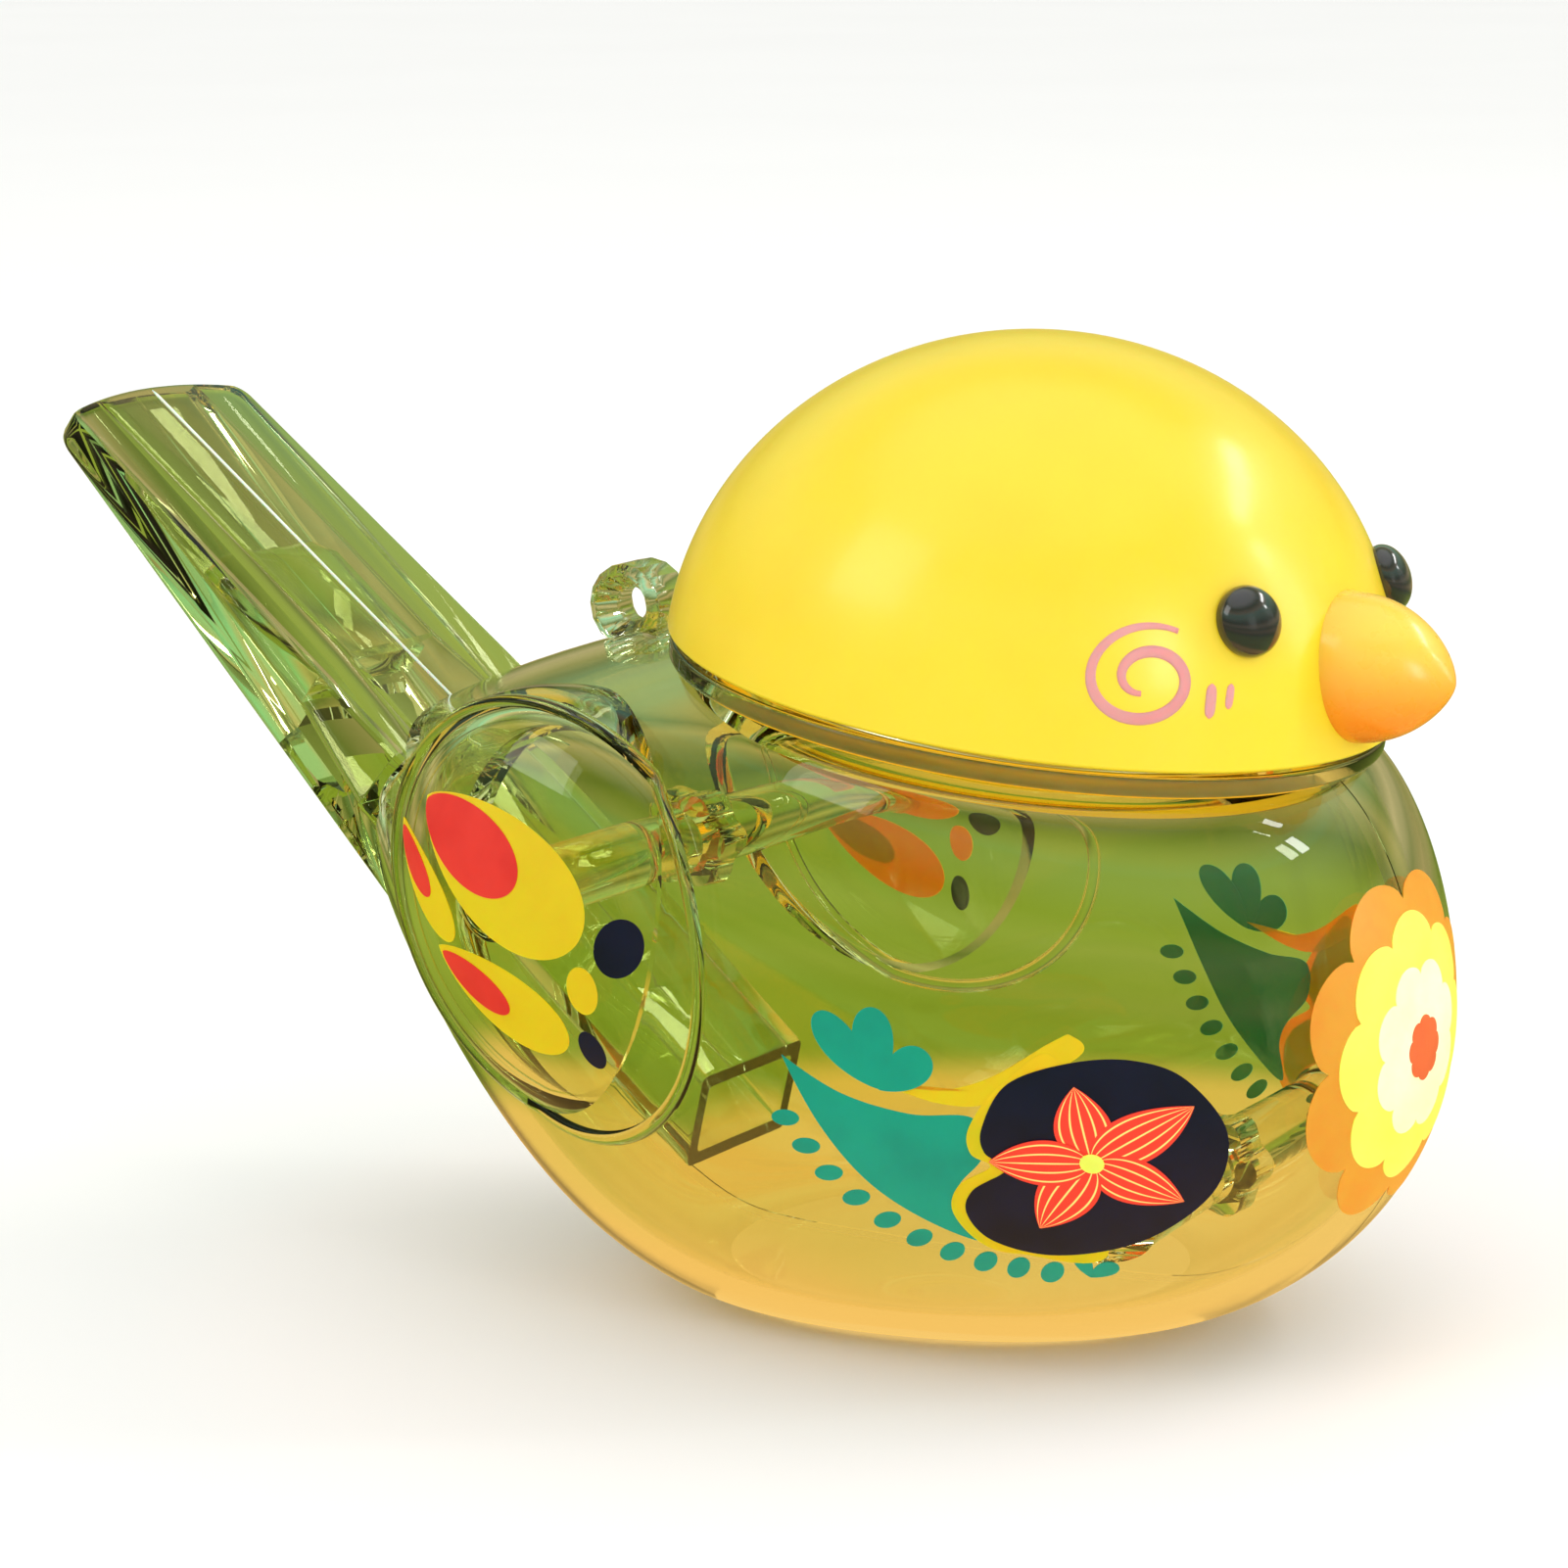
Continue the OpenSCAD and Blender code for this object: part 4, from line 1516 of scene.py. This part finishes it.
def round_sheet(name: str, radius: Points, height: Points) -> bpy.types.Object:
    """A round sheet that faces up: rings of the given radii and heights, with a fan in the middle.

    Args:
        name: the object's name.
        radius: each ring's radius in millimetres, from the middle outward.
        height: each ring's height.

    Returns:
        The new object.
    """
    steps = 96
    angle = circle_angles(steps)[None, :]
    r, z = radius[:, None], height[:, None]
    grid = np.stack([r * np.cos(angle), r * np.sin(angle), z + 0.0 * angle], -1)
    points = np.concatenate([grid.reshape(-1, 3), [[0.0, 0.0, height[0]]]])
    j = np.arange(steps)
    fan = np.stack([np.full(steps, len(points) - 1), j, (j + 1) % steps], -1)
    quads = grid_quads(len(radius), steps, False, True)[:, ::-1]
    mesh = bpy.data.meshes.new(name)
    mesh.from_pydata((points * MM).tolist(), [], quads.tolist() + fan.tolist())
    return add_to_scene(name, mesh)


@dataclass
class Studio:
    """Pale floor, soft light and the camera.

    The camera's distance and aim are in millimetres; the floor, the dish's reach and the softboxes
    (name, place, size and power) are in metres.
    """

    camera_swing: float = 30.0
    camera_lift: float = 12.25
    camera_distance: float = 300.0
    aim: Triple = (0.0, 0.0, 27.5)
    lens: float = 109.28
    off_centre: Pair = (-0.0427, 0.0170)
    floor_radius: float = 6.0
    floor_drop: float = 0.12
    surround: float = 1.08
    dish_reach: float = 0.7
    dish_flat: float = 160.0
    dish_rise: float = 0.0014
    bounces: int = 18
    softboxes: tuple[tuple[str, Triple, Pair, float], ...] = (
        ("key_box", (-0.45, -0.75, 0.75), (0.5, 0.5), 1.6),
        ("top_strip", (0.38, 0.55, 0.62), (0.44, 0.07), 1.0),
        ("side_strip", (0.76, 0.52, 0.36), (0.07, 0.5), 1.4),
        ("front_window", (0.85, -0.28, 0.26), (0.14, 0.34), 1.3),
    )

    def floor(self) -> None:
        """A wide pale disc just under the base."""
        radius = np.array([0.02, 0.2, 1.0, 3.0, self.floor_radius]) / MM
        made = round_sheet("pale_floor", radius, np.full(radius.size, -self.floor_drop))
        g = Graph("floor_paper")
        g.paint(g.mix(g.noise(6.0), (0.93, 0.93, 0.925, 1.0), (0.90, 0.90, 0.895, 1.0)))
        g.set(Roughness=0.75)
        g.bump(g.noise(900.0), 0.05, 0.05)
        made.data.materials.append(g.material)

    def world(self) -> None:
        """A white surround; what the clear plastic bends of it is toned from olive to tan and pale."""
        world = bpy.data.worlds.new("soft_surround")
        world.use_nodes = True
        tree = world.node_tree
        tree.nodes.clear()
        add, link = tree.nodes.new, tree.links.new
        split, ramp = add("ShaderNodeSeparateXYZ"), add("ShaderNodeValToRGB")
        rays, bent = add("ShaderNodeLightPath"), add("ShaderNodeMath")
        white, toned = add("ShaderNodeBackground"), add("ShaderNodeBackground")
        join = add("ShaderNodeMixShader")
        fill_ramp(ramp, (
            (0.0, (0.10, 0.13, 0.03)), (0.16, (0.34, 0.42, 0.12)), (0.30, (0.66, 0.50, 0.26)),
            (0.38, (0.10, 0.12, 0.03)), (0.50, (0.40, 0.78, 0.55)), (0.60, (0.72, 0.60, 0.34)),
            (0.74, (0.20, 0.26, 0.08)), (0.86, (0.9, 0.92, 0.8)), (1.0, (1.0, 1.0, 0.96))))
        white.inputs["Color"].default_value = (1.0, 1.0, 0.995, 1.0)
        white.inputs["Strength"].default_value = self.surround
        link(add("ShaderNodeTexCoord").outputs["Generated"], split.inputs[0])
        link(split.outputs[2], ramp.inputs[0])
        link(ramp.outputs[0], toned.inputs["Color"])
        link(rays.outputs["Is Transmission Ray"], bent.inputs[0])
        link(rays.outputs["Is Glossy Ray"], bent.inputs[1])
        for socket, source in zip(join.inputs, (bent, white, toned)):
            link(source.outputs[0], socket)
        link(join.outputs[0], add("ShaderNodeOutputWorld").inputs[0])
        bpy.context.scene.world = world

    def colour_dish(self) -> None:
        """A wide shallow dish that only the clear plastic sees, to give it something to bend.

        Its height is flat near the bird and grows with the square of the distance beyond that. Its glow is
        painted light for the plastic to bend and mirror: amber under the bird as a painted warm reflection,
        green round it and olive farther out.
        """
        radius = np.concatenate([[2.0], np.linspace(20.0, self.dish_reach / MM, 40)])
        height = 0.3 + self.dish_rise * np.maximum(radius - self.dish_flat, 0.0) ** 2
        made = round_sheet("colour_dish", radius, height)
        g = Graph("dish_glow")
        reach = g.node("ShaderNodeVectorMath", operation="LENGTH")
        g.link(g.own_coordinates(), reach.inputs[0])
        ramp = g.node("ShaderNodeValToRGB")
        fill_ramp(ramp, (
            (0.0, (0.95, 0.62, 0.18)), (0.068, (0.94, 0.58, 0.15)), (0.080, (0.30, 0.36, 0.04)),
            (0.14, (0.34, 0.42, 0.06)), (0.20, (0.30, 0.38, 0.06)), (0.27, (0.14, 0.18, 0.03)),
            (0.36, (0.50, 0.38, 0.17)), (0.44, (0.16, 0.20, 0.05)), (0.56, (0.60, 0.50, 0.26)),
            (0.70, (0.14, 0.18, 0.05)), (1.0, (0.40, 0.60, 0.38))))
        scaled = g.node("ShaderNodeMath", operation="MULTIPLY")
        scaled.inputs[1].default_value = 1.0 / self.dish_reach
        g.link(reach.outputs["Value"], scaled.inputs[0])
        g.link(scaled.outputs[0], ramp.inputs[0])
        # The dish's emission is painted light, seen only through and on the clear plastic.
        g.link(ramp.outputs[0], g.shader.inputs["Emission Color"])
        g.set(Emission_Strength=1.0, Base_Color=(0.0, 0.0, 0.0, 1.0), Specular_IOR_Level=0.0, Roughness=1.0)
        made.data.materials.append(g.material)
        made.visible_camera = made.visible_diffuse = made.visible_shadow = False

    def softbox(self, name: str, at: Triple, size: Pair, power: float) -> None:
        """A rectangular softbox aimed at the bird; its place is in metres."""
        light = bpy.data.lights.new(name, "AREA")
        light.shape, light.energy = "RECTANGLE", power
        light.size, light.size_y = size
        made = add_to_scene(name, light)
        made.location = at
        toward = Vector((0.0, 0.0, 0.03)) - Vector(at)
        made.rotation_euler = toward.to_track_quat("-Z", "Y").to_euler()

    def camera(self) -> None:
        """The camera at its fixed swing and lift, looking a little past the aim to frame the bird."""
        a, e = math.radians(self.camera_swing), math.radians(self.camera_lift)
        back = Vector((math.sin(a) * math.cos(e), -math.cos(a) * math.cos(e), math.sin(e)))
        right = Vector((math.cos(a), math.sin(a), 0.0))
        up = back.cross(right)
        look = (back - right * self.off_centre[0] - up * self.off_centre[1]).normalized()
        side = up.cross(look).normalized()
        over = look.cross(side)
        data = bpy.data.cameras.new("camera")
        data.lens, data.sensor_width = self.lens, 36.0
        data.clip_start, data.clip_end = 0.01, 50.0
        made = add_to_scene("camera", data)
        turn = Matrix((side, over, look)).transposed().to_4x4()
        at = (Vector(self.aim) + back * self.camera_distance) * MM
        made.matrix_world = Matrix.Translation(at) @ turn
        bpy.context.scene.camera = made

    def build(self) -> None:
        """Sets up the floor, the light and the camera."""
        self.floor()
        self.world()
        self.colour_dish()
        for box in self.softboxes:
            self.softbox(*box)
        self.camera()
        scene = bpy.context.scene
        scene.view_settings.view_transform = "Standard"
        scene.cycles.max_bounces = scene.cycles.transmission_bounces = self.bounces
        scene.cycles.glossy_bounces = 6


def main() -> None:
    """Builds every sub-assembly in order."""
    body = ClearBody()
    body.build()
    body.dress()
    WhistleParts(body).build()
    NeckParts(body).build()
    Head(body).build()
    Prints(body).build()
    for target in body.targets.values():
        discard(target)
    Studio().build()


if __name__ == "__main__":
    main()
